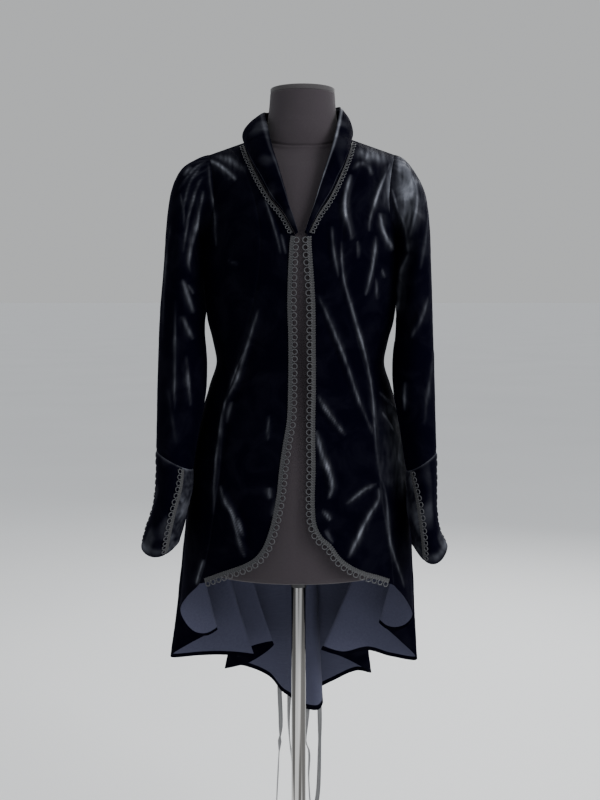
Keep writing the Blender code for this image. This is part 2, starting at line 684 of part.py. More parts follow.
def braidOnBody(name, side, line, stations, reach, lift, thickness, material):
    """Braid along a line of turn and level on the body, moved out from the cloth's own points."""
    places = np.zeros((len(stations), len(reach), 3))
    normals = np.zeros_like(places)
    for i, v in enumerate(stations):
        turn, level = line(v)
        here = bodyPoint(side, turn, level)
        ahead = bodyPoint(side, *line(min(v + 0.002, max(stations))))
        behind = bodyPoint(side, *line(max(v - 0.002, min(stations))))
        normal = bodyNormal(side, turn, level)
        sideways = unit(np.cross(unit(ahead - behind), normal))
        for j, far in enumerate(reach):
            spot = slide(side, turn, level, sideways * far)
            normals[i, j] = bodyNormal(side, *spot)
            places[i, j] = bodyPoint(side, *spot) + normals[i, j] * lift
    return wallFromGrid(name, places, normals, thickness, material)


def buildBody():
    spread = {"Front": [0, 0.12, 0.4, 0.7, 1], "SideFront": [0, 0.2, 0.4, 0.55, 0.68, 0.8, 0.9, 1],
              "Back": list(np.linspace(0, 1, 24))}
    for side, label in ((1, "Left"), (-1, "Right")):
        for name, panel, first in (("Front", frontPanel(side), 0), ("SideFront", sidePanel(side), SEAM_INSET),
                                   ("Back", backPanel(side), SEAM_INSET)):
            wall(name + label, panel, LEVELS, spread[name], VELVET, "velvet", bodyOutward,
                 (SEAM_INSET, 0, first, SEAM_INSET))


def buildSleeves():
    for side, label in ((1, "Left"), (-1, "Right")):
        around = [j / 16 for j in range(16)]
        rows = SLEEVE_LEFT if side > 0 else SLEEVE_RIGHT
        downs = [0, 0.05, 0.1, 0.2, 0.3, 0.4, 0.5, 0.6, 0.7, 0.8, 0.9, 1]
        wall("Sleeve" + label, sleeveSurface(side), downs, around, VELVET, "velvet",
             ringCentre(side, rows), closed=True)
        cuffRows = CUFF_LEFT if side > 0 else CUFF_RIGHT
        for top in (True, False):
            name = ("CuffTop" if top else "CuffUnder") + label
            wall(name, cuffPanel(side, top), np.linspace(0, 1, 7), np.linspace(0, 1, 8 if top else 11),
                 VELVET, "velvet", ringCentre(side, cuffRows), (STITCH_GAP, 0, SEAM_INSET, SEAM_INSET))


def buildCollar():
    halves = {side: collarSurface(side) for side in (1, -1)}

    def point(u, v):
        # One band from the wearer's right V, round the back of the neck, to the left V
        return halves[-1](u, v) if v <= 1 else halves[1](u, 2 - v)
    last = len(NECKLINE) - 1
    half = [j / (last * 1.5) for j in range(int(last * 1.5))]
    downs = half + [1] + [2 - v for v in half[::-1]]
    wall("Collar", point, downs, [0, 0.25, 0.5, 0.75, 1], COLLAR_CLOTH, "velvet", bodyOutward)


def buildBraid():
    lift = VELVET / 2 + BRAID_GAP + GIMP_HEIGHT / 2
    for side, label in ((1, "Left"), (-1, "Right")):
        edge = frontEdge(side)

        def edgeLine(v):
            out, level = edge(-v)
            return turnAt(out, level), level
        stations = [-level for level in LEVELS if level <= UNDERARM_LEVEL]
        braidOnBody("EdgeBraid" + label, side, edgeLine, stations, (-GIMP_WIDTH / 2, 0, GIMP_WIDTH / 2),
                    lift, GIMP_HEIGHT, "gimp")
        braid = CUFF_BRAID[label]
        cuffRows = CUFF_LEFT if side > 0 else CUFF_RIGHT
        surface = cuffSurface(side)
        outward = ringCentre(side, cuffRows)
        for place in ("Front", "Outer"):
            def line(u, v, place=place):
                angle = braid["outer"]
                if place == "Front":
                    angle = float(smooth((0, 0.5, 1), braid["front"], v))
                here = surface(angle, v)
                perDegree = float(np.linalg.norm(surface(angle + 1, v) - here))
                return surface(angle + u * CUFF_GIMP_WIDTH / perDegree, v)
            places, normals = gridNormals(line, np.linspace(0.02, 0.97, 9), [-0.5, 0, 0.5], outward)
            wallFromGrid("Cuff" + place + "Braid" + label, places + normals * lift, normals, GIMP_HEIGHT, "gimp")


def buildCollarBraid():
    """Braid on each front beside the collar's seam, from near the V to the shoulder."""
    lift = VELVET / 2 + BRAID_GAP + GIMP_HEIGHT / 2
    for side, label in ((1, "Left"), (-1, "Right")):
        seam = boundary([(out, level) for out, level, face in neckRows(side) if face > 0])

        def line(v, seam=seam):
            out, level = seam(v)
            return turnAt(out, level), level
        reach = [side * (SEAM_REACH + share * SEAM_GIMP_WIDTH) for share in (0, 0.5, 1)]
        braidOnBody("CollarBraid" + label, side, line, np.linspace(0.09, 0.955, 14), reach, lift,
                    GIMP_HEIGHT, "gimp")


def tailRoute(points, count):
    at = boundary(points)
    return np.array([at(t) for t in np.linspace(0, 1, count)])


def buildTie():
    """Ribbons from the side backs to a knot at the centre back, with four tails."""
    lift = VELVET / 2 + TIE_GAP + RIBBON_CLOTH / 2
    for side, label in ((1, "Left"), (-1, "Right")):
        turns = np.linspace(TIE_TURN, TIE_END_TURN, 14)
        places = np.zeros((len(turns), 2, 3))
        normals = np.zeros_like(places)
        for i, turn in enumerate(turns):
            for j, rise in enumerate((-RIBBON_WIDTH / 2, RIBBON_WIDTH / 2)):
                normals[i, j] = bodyNormal(side, turn, TIE_LEVEL)
                places[i, j] = bodyPoint(side, turn, TIE_LEVEL + rise) + normals[i, j] * lift
        wallFromGrid("Tie" + label, places, normals, RIBBON_CLOTH, "ribbon")
    back = bodyPoint(1, 180.0, TIE_LEVEL) + np.array([0, VELVET / 2 + TIE_GAP, 0])
    wide, deep, high = (size / 2 for size in KNOT_SIZE)
    middle = np.array([back[0], back[1] + deep, back[2]])
    rings = []
    for share in np.linspace(-1, 1, 7):
        swell = math.sqrt(max(1 - share ** 4, 0.25))
        ring = []
        for j in range(12):
            angle = 2 * math.pi * j / 12
            ring.append(middle + np.array([wide * swell * math.cos(angle), deep * math.sin(angle), high * share]))
        rings.append(ring)
    loft("Knot", rings, "ribbon")
    for name, points in TAILS.items():
        route = tailRoute(points, 28)
        places = np.stack([route - [RIBBON_WIDTH / 2, 0, 0], route + [RIBBON_WIDTH / 2, 0, 0]], axis=1)
        fall = np.gradient(route, axis=0)
        normals = np.array([[unit(np.cross([1.0, 0, 0], step))] * 2 for step in fall])
        wallFromGrid(name, places, -normals, RIBBON_CLOTH, "ribbon")


def ringAt(height, width, depth, count, y=0.0):
    return [np.array([width * math.cos(2 * math.pi * j / count) + leanAt(height),
                      y + depth * math.sin(2 * math.pi * j / count), height]) for j in range(count)]


def formRing(level, count):
    width, front, back, drop = section(max(level, HEM_LEVEL))
    lessWidth, lessFront, lessBack, lower = smooth(FORM_ROWS[:, 0], FORM_ROWS[:, 1:], level)
    ring = []
    for j in range(count):
        angle = 2 * math.pi * j / count
        out = (width - lessWidth) * math.cos(angle)
        depth = (back - lessBack if math.sin(angle) > 0 else front - lessFront) * math.sin(angle)
        height = level - drop * abs(out) - lower
        ring.append(np.array([out + leanAt(height), depth, height]))
    return ring


def union(target, tool):
    """Joins the tool to the target as one solid and removes the tool."""
    join = target.modifiers.new("Join", "BOOLEAN")
    join.operation = "UNION"
    join.solver = "EXACT"
    join.object = tool
    graph = bpy.context.evaluated_depsgraph_get()
    mesh = bpy.data.meshes.new_from_object(target.evaluated_get(graph))
    target.modifiers.clear()
    old = target.data
    target.data = mesh
    bpy.data.meshes.remove(old)
    bpy.data.objects.remove(tool, do_unlink=True)


def buildForm():
    levels = [0.68, 0.73, 0.78, 0.83, 0.88, 0.94, 1.0, 1.037, 1.08, 1.13, 1.18, 1.23, 1.28, 1.32, 1.355,
              1.385, 1.405, 1.42, 1.43, 1.437]
    torso = loft("FormTorso", [formRing(level, 32) for level in levels], "jersey", ridge=True)
    neck = byLevel(NECK)
    heights = [1.33, 1.36, 1.385, 1.405, 1.42, 1.432, 1.445, 1.46, NECK_SEAM]
    rings = []
    for height in heights:
        width, depth = neck(height)
        rings.append(ringAt(height, width, depth, 32))
    union(torso, loft("FormNeck", rings, "jersey"))
    width, depth = neck(NECK_SEAM)
    capRings = [ringAt(NECK_SEAM + GAP, width, depth, 32),
                ringAt(NECK_TOP - 0.003, width - 0.0006, depth - 0.0006, 32),
                ringAt(NECK_TOP, width - 0.004, depth - 0.004, 32)]
    loft("NeckCap", capRings, "cap")


def buildStand():
    def turned(name, profile, count, material, x=0.0):
        rings = [[np.array([x + r * math.cos(2 * math.pi * j / count), r * math.sin(2 * math.pi * j / count), z])
                  for j in range(count)] for z, r in profile]
        return loft(name, rings, material)
    turned("Base", [(0, BASE_RADIUS - 0.002), (0.002, BASE_RADIUS), (BASE_HEIGHT - 0.005, BASE_RADIUS),
                    (BASE_HEIGHT, BASE_RADIUS - 0.006)], 48, "base")
    turned("Pole", [(BASE_HEIGHT, POLE_RADIUS), (SOCKET_BOTTOM, POLE_RADIUS)], 24, "chrome")
    turned("Socket", [(SOCKET_BOTTOM, SOCKET_RADIUS), (FORM_BOTTOM, SOCKET_RADIUS)], 24, "socket")


buildBody()
buildSleeves()
buildCollar()
buildBraid()
buildCollarBraid()
buildTie()
buildForm()
buildStand()
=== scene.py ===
# Gothic victorian jacket of black stretch velvet on a limbless dress form, in metres.
# The form faces -Y, the wearer's left side is at +X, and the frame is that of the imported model.
import math

import bmesh
import bpy
import numpy as np
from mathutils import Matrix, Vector, noise


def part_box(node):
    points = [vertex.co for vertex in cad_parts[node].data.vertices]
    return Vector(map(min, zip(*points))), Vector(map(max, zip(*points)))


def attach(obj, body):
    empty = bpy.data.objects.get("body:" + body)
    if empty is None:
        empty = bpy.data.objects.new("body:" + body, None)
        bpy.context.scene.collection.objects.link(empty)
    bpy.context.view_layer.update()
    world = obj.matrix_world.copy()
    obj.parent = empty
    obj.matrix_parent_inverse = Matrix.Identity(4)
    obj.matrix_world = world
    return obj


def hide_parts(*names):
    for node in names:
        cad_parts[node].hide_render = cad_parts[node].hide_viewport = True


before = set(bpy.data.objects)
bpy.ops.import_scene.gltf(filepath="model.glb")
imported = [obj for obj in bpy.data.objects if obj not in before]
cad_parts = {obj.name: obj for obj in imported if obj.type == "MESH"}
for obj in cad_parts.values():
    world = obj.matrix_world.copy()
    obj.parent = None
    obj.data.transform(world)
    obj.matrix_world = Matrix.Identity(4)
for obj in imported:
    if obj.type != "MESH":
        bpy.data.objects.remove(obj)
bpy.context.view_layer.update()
print("packed model loaded")


# Shape of the jacket, shared by its panels

def metres(rows):  # a table that is written in millimetres
    return np.array(rows, float) / 1000


formSizes = {
    "bottom": 0.680,      # underside of the torso
    "lean": 0.0065,       # how far the top leans to the wearer's left
    "leanLevel": 1.45,    # where the lean is that much
    "hipLevel": 0.880,    # below this the skirt swings out to its folded hem
    "hemLevel": 0.672,
    "hemSwing": 1.5,      # how late the swing sets in
    "shoulderLevel": 1.437,
    "underarmLevel": 1.243,
    "cutawayLevel": 0.910,
    "sideSeamTurn": 86.0,
    "waistLevel": 1.037,
}

# Level, half width, depth to the front and to the back, drop of the row in thousandths of the way out
bodyTable = metres([(672, 198, 137, 152, 0), (800, 194.5, 131, 138, 0), (850, 189.7, 127, 129, 0),
                    (900, 181, 121, 118, 0), (950, 167, 115, 106, 0), (1000, 152.5, 110, 96, 0),
                    (1037, 141.5, 111, 93, 0), (1075, 148, 118, 96, 0), (1110, 157, 126, 100, 0),
                    (1190, 164, 131, 103, 0), (1240, 165, 124, 103, 0), (1290, 168, 110, 100, 30),
                    (1340, 172, 92, 91, 100), (1385, 175, 68, 76, 210), (1418, 176, 40, 48, 300),
                    (1437, 176, 4, 4, 345)])

# Hem of the tail from the end of the front braid to the centre back: out from the middle, depth, height
hemTable = {
    -1: metres([(166, -74.5, 670), (190, -42, 640), (206, 0, 604), (196, 13, 574), (180, 27, 554), (160, 40, 549),
                (144, 48, 557), (190, 62, 530), (233, 100, 490), (182, 122, 486), (127, 112, 490), (79, 98, 489),
                (112, 142, 477), (80, 160, 486), (46, 166, 491), (92, 190, 450), (141, 214, 429), (111, 241, 427),
                (57, 252, 402), (30, 253, 370), (10, 236, 362), (-10, 222, 347.5)]),
    1: metres([(158, -81, 672), (184, -46, 636), (200, 0, 594), (190, 16, 572), (172, 34, 560), (156, 46, 560),
               (145, 53, 568), (182, 70, 532), (219, 103, 484), (171, 124, 484), (128, 122, 496), (80, 112, 489),
               (43, 104, 502), (80, 150, 475), (112, 180, 450), (142, 208, 423), (116, 238, 417), (76, 250, 396),
               (35, 251, 370), (50, 232, 358), (40, 216, 346), (10, 222, 347.5)])}

# Neckline: out on the wearer's left and right, level, 1 in front or -1 behind
neckTable = metres([(8.5, 9.5, 1243, 1), (25, 27.5, 1277, 1), (43, 49, 1306, 1), (59.5, 69, 1346, 1),
                    (73, 85, 1391, 1), (80, 94, 1425, 1), (82.5, 97, 1437, 1), (77, 90, 1424, -1),
                    (52, 59, 1408, -1), (0, 0, 1401, -1)])

# Free edge of the collar beside those rows: out, depth, height left and right, bow left and right
collarTable = metres([(6, -126, 1252, 1252, 1, 1), (17.5, -118, 1285, 1285, 3, 3), (26.5, -109, 1318, 1318, 5, 5),
                      (37, -97, 1354, 1354, 7, 8), (48, -80, 1390, 1388, 9, 12), (56, -50, 1426, 1422, 8, 14),
                      (62, -8, 1458, 1449, 7, 13), (61, 35, 1468, 1459, 7, 11), (42, 65, 1469, 1465, 7, 8),
                      (0, 79, 1469, 1469, 7, 7)])

# Velvet edge of each front (level, out), and its rounded corner (out, level)
edgeTable = {
    -1: metres([(1243, 9.5), (1225, 11.5), (1142, 14), (1079, 12), (999, 12), (950, 13.3), (910, 19.5)]),
    1: metres([(1243, 8.5), (1225, 8.8), (1142, 15), (1079, 16.5), (999, 17.8), (950, 17.2), (910, 17.5)])}
cornerTable = {
    -1: metres([(19.5, 910), (25, 870), (29, 828), (36.5, 787), (44, 760), (53.5, 738), (68, 720.5), (86, 709),
                (106, 700), (130, 689), (154, 676.5)]),
    1: metres([(17.5, 910), (18.3, 870), (17.5, 820), (20.5, 783), (31, 760), (47, 745), (62, 724), (83, 707),
               (106, 695), (128, 686.5), (148, 677)])}

# Seams: level and out, and for the middle of the back also the level there
princessTable = metres([(1437, 120), (1395, 103), (1340, 85), (1290, 72), (1235, 65), (1173, 69), (1104, 85),
                        (1050, 100), (996, 116), (930, 126), (860, 131), (780, 142), (710, 154.5)])
armholeTable = {
    1: metres([(1437, 155), (1405, 150), (1355, 145), (1312, 143), (1280, 146), (1256, 156)]),
    -1: metres([(1437, 155), (1405, 152), (1355, 149), (1312, 148), (1282, 151), (1258, 159)])}
backCentreTable = metres([(1385, 0, 1401), (1350, 0, 1365), (1310, 0, 1320), (1243, 0, 1243)])

# Rings of sleeves and cuffs: outer point (out, height), inner point (out, height), depth, half depth
sleeveTable = {
    -1: metres([(179, 1374, 168, 1235, -2, 60), (201, 1357, 166.5, 1218, -8, 61.5),
                (215, 1325, 165.5, 1195, -16, 62), (222, 1278, 165, 1168, -22, 61),
                (226.5, 1210, 160.2, 1130, -26, 58), (232.5, 1130, 160, 1090, -30, 54),
                (235.6, 1060.3, 155.9, 1040.4, -37, 51), (236.2, 996.3, 157.1, 986.4, -48, 48),
                (235.9, 947.8, 166.6, 929, -60, 44), (235.8, 896.6, 176.2, 864.2, -70, 40)]),
    1: metres([(173.5, 1372, 168, 1235, -2, 60), (190.5, 1349, 166.5, 1218, -8, 61.5),
               (205, 1316, 165.5, 1195, -16, 62), (211.5, 1272, 165, 1168, -22, 61),
               (214.5, 1210, 160.2, 1130, -26, 58), (218.2, 1130, 159, 1090, -30, 54),
               (220.7, 1060.3, 154.4, 1040.4, -37, 51), (222.1, 996.3, 156.6, 986.4, -48, 48),
               (223.3, 947.8, 166.6, 928, -60, 44), (225, 894.6, 177, 862.2, -70, 40)])}
cuffTable = {
    -1: metres([(235.8, 896.4, 176.2, 864, -70, 40), (236.2, 848.3, 177.3, 829.7, -70, 42),
                (241.2, 803, 185.7, 795.1, -70, 45), (253.7, 764.4, 192.7, 762.5, -70, 48),
                (260.7, 736.7, 199.7, 741.6, -70, 50)]),
    1: metres([(225, 894.4, 177, 862, -70, 40), (226.4, 845.4, 178.5, 826.7, -70, 42),
               (227.5, 800, 180.5, 791.2, -70, 45), (232.8, 764.4, 186.8, 759.5, -70, 48),
               (245.9, 736.7, 189.4, 736.7, -70, 50)])}
cuffSizes = {-1: {"lobe": 0.012, "front": (123.0, 110.0, 115.0), "outer": -14.0},
             1: {"lobe": 0.021, "front": (138.0, 107.0, 116.0), "outer": -14.0}}
collarLift = 0.0024  # from the neck seam to the collar's first row
armholeGap = {"all": 0.0005, "under": 0.0020}
sideNames = {1: "Left", -1: "Right"}
ownColumn = {1: 0, -1: 1}  # column of a side in the tables that hold both
armholeLevels = np.array([1.437, 1.424, 1.408, 1.385, 1.350, 1.310, 1.275, 1.253, 1.243])
flatDown = np.array([1.0, 1.0, 0.0])


# Curves and surfaces

def curve(keys, values, at):  # smooth curve through the values, read at many places
    keys, values = np.asarray(keys, float), np.asarray(values, float)
    values = values[:, None] if values.ndim == 1 else values
    at = np.atleast_1d(np.asarray(at, float))
    spot = np.clip(np.searchsorted(keys, at) - 1, 0, len(keys) - 2)
    left, right = np.maximum(spot - 1, 0), np.minimum(spot + 2, len(keys) - 1)
    width = (keys[spot + 1] - keys[spot])[:, None]
    raw = (at - keys[spot])[:, None] / width
    t = np.clip(raw, 0, 1)
    slopeA = (values[spot + 1] - values[left]) / (keys[spot + 1] - keys[left])[:, None]
    slopeB = (values[right] - values[spot]) / (keys[right] - keys[spot])[:, None]
    inside = blend(values[spot], values[spot + 1], slopeA * width, slopeB * width, t)
    return inside + np.where(raw < 0, slopeA, slopeB) * (raw - t) * width


def blend(start, end, slopeA, slopeB, t):
    t2, t3 = t * t, t * t * t
    return start * (2 * t3 - 3 * t2 + 1) + slopeA * (t3 - 2 * t2 + t) + end * (3 * t2 - 2 * t3) + slopeB * (t3 - t2)


def runLength(points):  # distance along the points
    return np.concatenate([[0.0], np.cumsum(np.linalg.norm(np.diff(points, axis=0), axis=1))])


def alongKeys(points):
    total = runLength(points)
    return total / total[-1]


def byLevel(rows):
    rows = np.asarray(rows, float)
    rows = rows[np.argsort(rows[:, 0])]
    return lambda level: curve(rows[:, 0], rows[:, 1:], level)


def through(rows):  # curve through rows, read from 0 to 1 by their distance apart
    keys = alongKeys(rows)
    return lambda v: curve(keys, rows, v)


def units(vectors):
    return vectors / np.maximum(np.linalg.norm(vectors, axis=-1, keepdims=True), 1e-12)


def ramp(value, start, end):  # 0 before the start, 1 past the end, smooth between
    t = np.clip((np.asarray(value, float) - start) / (end - start), 0, 1)
    return t * t * (3 - 2 * t)


def bell(distance, width):  # 1 at no distance, falling off smoothly
    return np.exp(-(distance / width) ** 2)


def facing(normals, away):  # 1 where a normal points away from the middle, -1 elsewhere
    return np.where((normals * away * flatDown).sum(axis=-1, keepdims=True) > 0, 1.0, -1.0)


def leanAt(height):
    return formSizes["lean"] * (height - formSizes["bottom"]) / (formSizes["leanLevel"] - formSizes["bottom"])


def section(level):
    return curve(bodyTable[:, 0], bodyTable[:, 1:], level)


def turnAt(out, level, face=1):  # degrees round from the centre front
    turn = np.degrees(np.arcsin(np.clip(out / section(level)[:, 0], -1.0, 1.0)))
    return np.where(np.asarray(face) > 0, turn, 180.0 - turn)


hemKeys = {side: alongKeys(rows) for side, rows in hemTable.items()}
hemStart = {side: math.degrees(math.asin(rows[0, 0] / bodyTable[0, 1])) for side, rows in hemTable.items()}


def bodyPoint(side, turn, level):
    turn, level = np.broadcast_arrays(np.atleast_1d(turn).astype(float), np.atleast_1d(level).astype(float))
    width, front, back, drop = section(np.maximum(level, formSizes["hemLevel"])).T
    angle, hem = np.radians(turn), formSizes["hemLevel"]
    out = width * np.sin(angle)
    depth = np.where(turn <= 90.0, -front, -back) * np.cos(angle)
    height = level - drop * out
    share = np.clip((formSizes["hipLevel"] - level) / (formSizes["hipLevel"] - hem), 0, 1.05)
    turned = (turn - hemStart[side]) / (180.0 - hemStart[side])
    low = section(np.array([hem]))[0]
    foot = curve(hemKeys[side], hemTable[side], np.clip(turned, 0, 1))
    lowDepth = np.where(turn <= 90.0, -low[1], -low[2]) * np.cos(angle)
    swing = np.where(turned > 0, share, 0.0)
    out = out + (foot[:, 0] - low[0] * np.sin(angle)) * swing ** formSizes["hemSwing"]
    depth = depth + (foot[:, 1] - lowDepth) * swing ** formSizes["hemSwing"]
    height = height + (foot[:, 2] - hem) * swing
    return np.stack([side * out + leanAt(height), depth, height], axis=1)


def frontEdge(side):  # free edge of a front beside each level: out and level
    neck = byLevel(neckTable[neckTable[:, 3] > 0][:, [2, ownColumn[side]]])
    edge, corner = byLevel(edgeTable[side]), through(cornerTable[side])

    def at(level):
        level = np.atleast_1d(level).astype(float)
        out = np.where(level >= formSizes["underarmLevel"], neck(level)[:, 0], edge(level)[:, 0])
        share = (formSizes["cutawayLevel"] - level) / (formSizes["cutawayLevel"] - formSizes["hemLevel"])
        low = corner(np.clip(share, 0, 1.02))
        below = level < formSizes["cutawayLevel"]
        return np.where(below, low[:, 0], out), np.where(below, low[:, 1], level)
    return at


def princessSeam(side):
    return byLevel(np.vstack([princessTable, (formSizes["hemLevel"], hemTable[side][0, 0])]))


def sideTurn(face):  # turn of the armhole above the underarm, and of the side seam below it
    level, out = armholeTable[face].T
    rows = np.stack([level, turnAt(out, level, face)], axis=1)
    arm = byLevel(np.vstack([rows, (formSizes["underarmLevel"], formSizes["sideSeamTurn"])]))
    return lambda level: np.where(level > formSizes["underarmLevel"], arm(level)[:, 0], formSizes["sideSeamTurn"])


def frontPanel(side):
    inner, outer = frontEdge(side), princessSeam(side)

    def place(u, level):
        out, own = inner(level)
        turnA, turnB = turnAt(out, own), turnAt(outer(level)[:, 0], level)
        return turnA + (turnB - turnA) * u, own + (level - own) * u
    return place


def sidePanel(side):
    inner, outer = princessSeam(side), sideTurn(1)

    def place(u, level):
        turnA, turnB = turnAt(inner(level)[:, 0], level), outer(level)
        return turnA + (turnB - turnA) * u, level
    return place


def backPanel(side):
    own, level, behind = ownColumn[side], neckTable[:, 2], (neckTable[:, 3] < 0) & (neckTable[:, 0] > 0)
    neck = neckTable[(level == formSizes["shoulderLevel"]) | behind][:, [2, own, 2]]
    outer, inner = sideTurn(-1), byLevel(np.vstack([backCentreTable, neck]))

    def place(u, level):
        out, end = inner(level).T
        high = level > formSizes["underarmLevel"]
        out, end = np.where(high, out, 0.0), np.where(high, end, level)
        turnA, turnB = outer(level), np.minimum(turnAt(np.maximum(out, 0.0), end, -1), 180.0)
        return turnA + (turnB - turnA) * u, level + (end - level) * u
    return place


def armholeLoop(side):
    down, up = armholeLevels, armholeLevels[-2:0:-1]
    loop = np.concatenate([bodyPoint(side, sideTurn(1)(down), down), bodyPoint(side, sideTurn(-1)(up), up)])
    whole = np.concatenate([loop[-2:], loop, loop[:3]])
    return lambda around: curve(np.arange(len(whole)) - 2.0, whole, (around % 1.0) * len(loop))


def ringPoint(side, rows, turn):  # angle 0 is the outer side and 90 the front
    outX, outZ, inX, inZ, middle, half = rows.T
    angle = np.radians(turn)
    share = (1 + np.cos(angle)) / 2
    height = inZ + (outZ - inZ) * share
    out = side * (inX + (outX - inX) * share) + leanAt(height)
    return np.stack([out, middle - half * np.sin(angle), height], axis=1)


def sleeveSurface(side):  # u once round, v from the armhole at 0 to the wrist at 1
    rows, loop = sleeveTable[side], armholeLoop(side)

    def point(u, v):
        gap = armholeGap["all"] + armholeGap["under"] * (1 - np.cos(2 * math.pi * u)) / 2
        first = loop(u) + np.stack([side * gap, 0 * u, 0 * u], axis=1)
        rings = np.stack([first] + [ringPoint(side, np.tile(row, (len(u), 1)), 360.0 * u) for row in rows], axis=1)
        spot, n = np.clip(v * len(rows), 0, len(rows)), np.arange(len(u))
        low = np.clip(np.floor(spot).astype(int), 0, len(rows) - 1)
        a, d = np.maximum(low - 1, 0), np.minimum(low + 2, len(rows))
        slopeA = (rings[n, low + 1] - rings[n, a]) / (low + 1 - a)[:, None]
        slopeB = (rings[n, d] - rings[n, low]) / (d - low)[:, None]
        return blend(rings[n, low], rings[n, low + 1], slopeA, slopeB, (spot - low)[:, None])
    return point


def cuffSurface(side):
    rows, lobe = cuffTable[side], cuffSizes[side]["lobe"]

    def point(turn, v):
        place = ringPoint(side, curve(np.arange(len(rows)), rows, v * (len(rows) - 1)), turn)
        place[:, 2] -= lobe * np.sin(np.radians(turn)) ** 2 * np.maximum(v, 0.0) ** 2
        return place
    return point


def cuffSeam(side, v):  # turn of the seam in front
    return curve((0, 0.5, 1), cuffSizes[side]["front"], v)[:, 0]


def cuffPanel(side, top):
    surface, outer = cuffSurface(side), cuffSizes[side]["outer"]

    def point(u, v):
        front = cuffSeam(side, v)
        start, end = (outer, front) if top else (front, outer + 360.0)
        return surface(start + (end - start) * u, v)
    return point


def cuffCentre(side):
    rows = cuffTable[side]
    return np.array([side * float((rows[:, 0] + rows[:, 2]).mean() / 2), -0.038, 0.0])


def collarSurface(side):  # v from the V at 0 round to the centre back at 1, u from the seam to the free edge
    own, levels = ownColumn[side], neckTable[:, 2]
    seam = bodyPoint(side, turnAt(neckTable[:, own], levels, neckTable[:, 3]), levels)
    heights, bows = collarTable[:, 2 + own], collarTable[:, 4 + own]
    edge = np.stack([side * collarTable[:, 0] + leanAt(heights), collarTable[:, 1], heights], axis=1)
    stations = np.arange(len(seam))

    def point(u, v):
        spot = v * (len(seam) - 1)
        low, high = curve(stations, seam, spot), curve(stations, edge, spot)
        away = units(np.stack([low[:, 0] - leanAt(low[:, 2]), low[:, 1], 0 * spot], axis=1))
        low = low + units(high - low) * collarLift
        bow = (curve(stations, bows, spot)[:, 0] * np.sin(math.pi * np.clip(u, 0, 1)) ** 0.8)[:, None]
        return low + (high - low) * u[:, None] + away * bow
    return point




# Materials

def makeGroup(name, inputs, outputs):
    group = bpy.data.node_groups.new(name, "ShaderNodeTree")
    for label, value in inputs.items():
        kind = "NodeSocketVector" if isinstance(value, tuple) else "NodeSocketFloat"
        group.interface.new_socket(name=label, in_out="INPUT", socket_type=kind).default_value = value
    for label in outputs:
        group.interface.new_socket(name=label, in_out="OUTPUT", socket_type="NodeSocketFloat")
    return group, group.nodes.new("NodeGroupInput").outputs, group.nodes.new("NodeGroupOutput")


def settle(made, **values):  # the settings of a node, and its sockets by name
    for key, value in values.items():
        if hasattr(made, key):
            setattr(made, key, value)
        else:
            made.inputs[key.replace("_", " ")].default_value = value
    return made


def join(tree, made, **sources):  # links into the sockets of a node by name
    for key, source in sources.items():
        tree.links.new(source, made.inputs[key.replace("_", " ")])
    return made


def node(tree, kind, place, **values):
    made = tree.nodes.new("ShaderNode" + kind)
    made.location = place
    return settle(made, **values)


def math2(tree, operation, place, first, second):
    made = node(tree, "Math", place, operation=operation)
    for socket, value in zip(made.inputs, (first, second)):
        if isinstance(value, float):
            socket.default_value = value
        else:
            tree.links.new(value, socket)
    return made.outputs[0]


def buildPileGroup():  # short brushed pile: crushed patches, fine grain and a height
    tree, given, outside = makeGroup("BrushedPile", {"Vector": (0, 0, 0), "Patch Scale": 16.0, "Grain Scale": 700.0},
                                     ("Crush", "Grain", "Height"))
    patches = node(tree, "TexNoise", (-500, 200), Detail=4.0, Roughness=0.55, Distortion=0.9)
    grain = node(tree, "TexNoise", (-500, -100), Detail=2.0, Roughness=0.6)
    join(tree, patches, Vector=given["Vector"], Scale=given["Patch Scale"])
    join(tree, grain, Vector=given["Vector"], Scale=given["Grain Scale"])
    crush = node(tree, "MapRange", (-250, 200), interpolation_type="SMOOTHSTEP", From_Min=0.40, From_Max=0.72)
    join(tree, crush, Value=patches.outputs["Fac"])
    high = math2(tree, "MULTIPLY", (-250, -150), grain.outputs["Fac"], 0.35)
    join(tree, outside, Crush=crush.outputs["Result"], Grain=grain.outputs["Fac"],
         Height=math2(tree, "ADD", (-80, -50), patches.outputs["Fac"], high))
    return tree


def buildKnitGroup():  # fine knit ribs crossed by rows of stitches, on a UV map in metres
    tree, given, outside = makeGroup("FineKnit", {"Vector": (0, 0, 0), "Ribs": 900.0, "Rows": 700.0},
                                     ("Stitch", "Fuzz"))
    ribs = node(tree, "TexWave", (-450, 200), bands_direction="X", Distortion=0.6, Detail=1.0)
    rows = node(tree, "TexWave", (-450, -50), bands_direction="Y", Distortion=0.8, Detail=1.0)
    fuzz = node(tree, "TexNoise", (-450, -300), Scale=260.0, Detail=3.0)
    join(tree, ribs, Vector=given["Vector"], Scale=given["Ribs"])
    join(tree, rows, Vector=given["Vector"], Scale=given["Rows"])
    join(tree, fuzz, Vector=given["Vector"])
    join(tree, outside, Fuzz=fuzz.outputs["Fac"],
         Stitch=math2(tree, "MULTIPLY", (-200, 100), ribs.outputs["Fac"], rows.outputs["Fac"]))
    return tree


pileGroup = buildPileGroup()
knitGroup = buildKnitGroup()


def newLook(name):
    look = bpy.data.materials.new(name)
    look.use_nodes = True
    return look, look.node_tree, look.node_tree.nodes["Principled BSDF"]


def where(tree, output):
    kind = "UVMap" if output == "UV" else "TexCoord"
    return tree.nodes.new("ShaderNode" + kind).outputs[output]


def grouped(tree, group, place, source, **values):
    made = node(tree, "Group", place, node_tree=group)
    return join(tree, settle(made, **values), Vector=source)


def noted(tree, place, name):  # a value stored on the mesh
    return node(tree, "Attribute", place, attribute_name=name).outputs["Fac"]


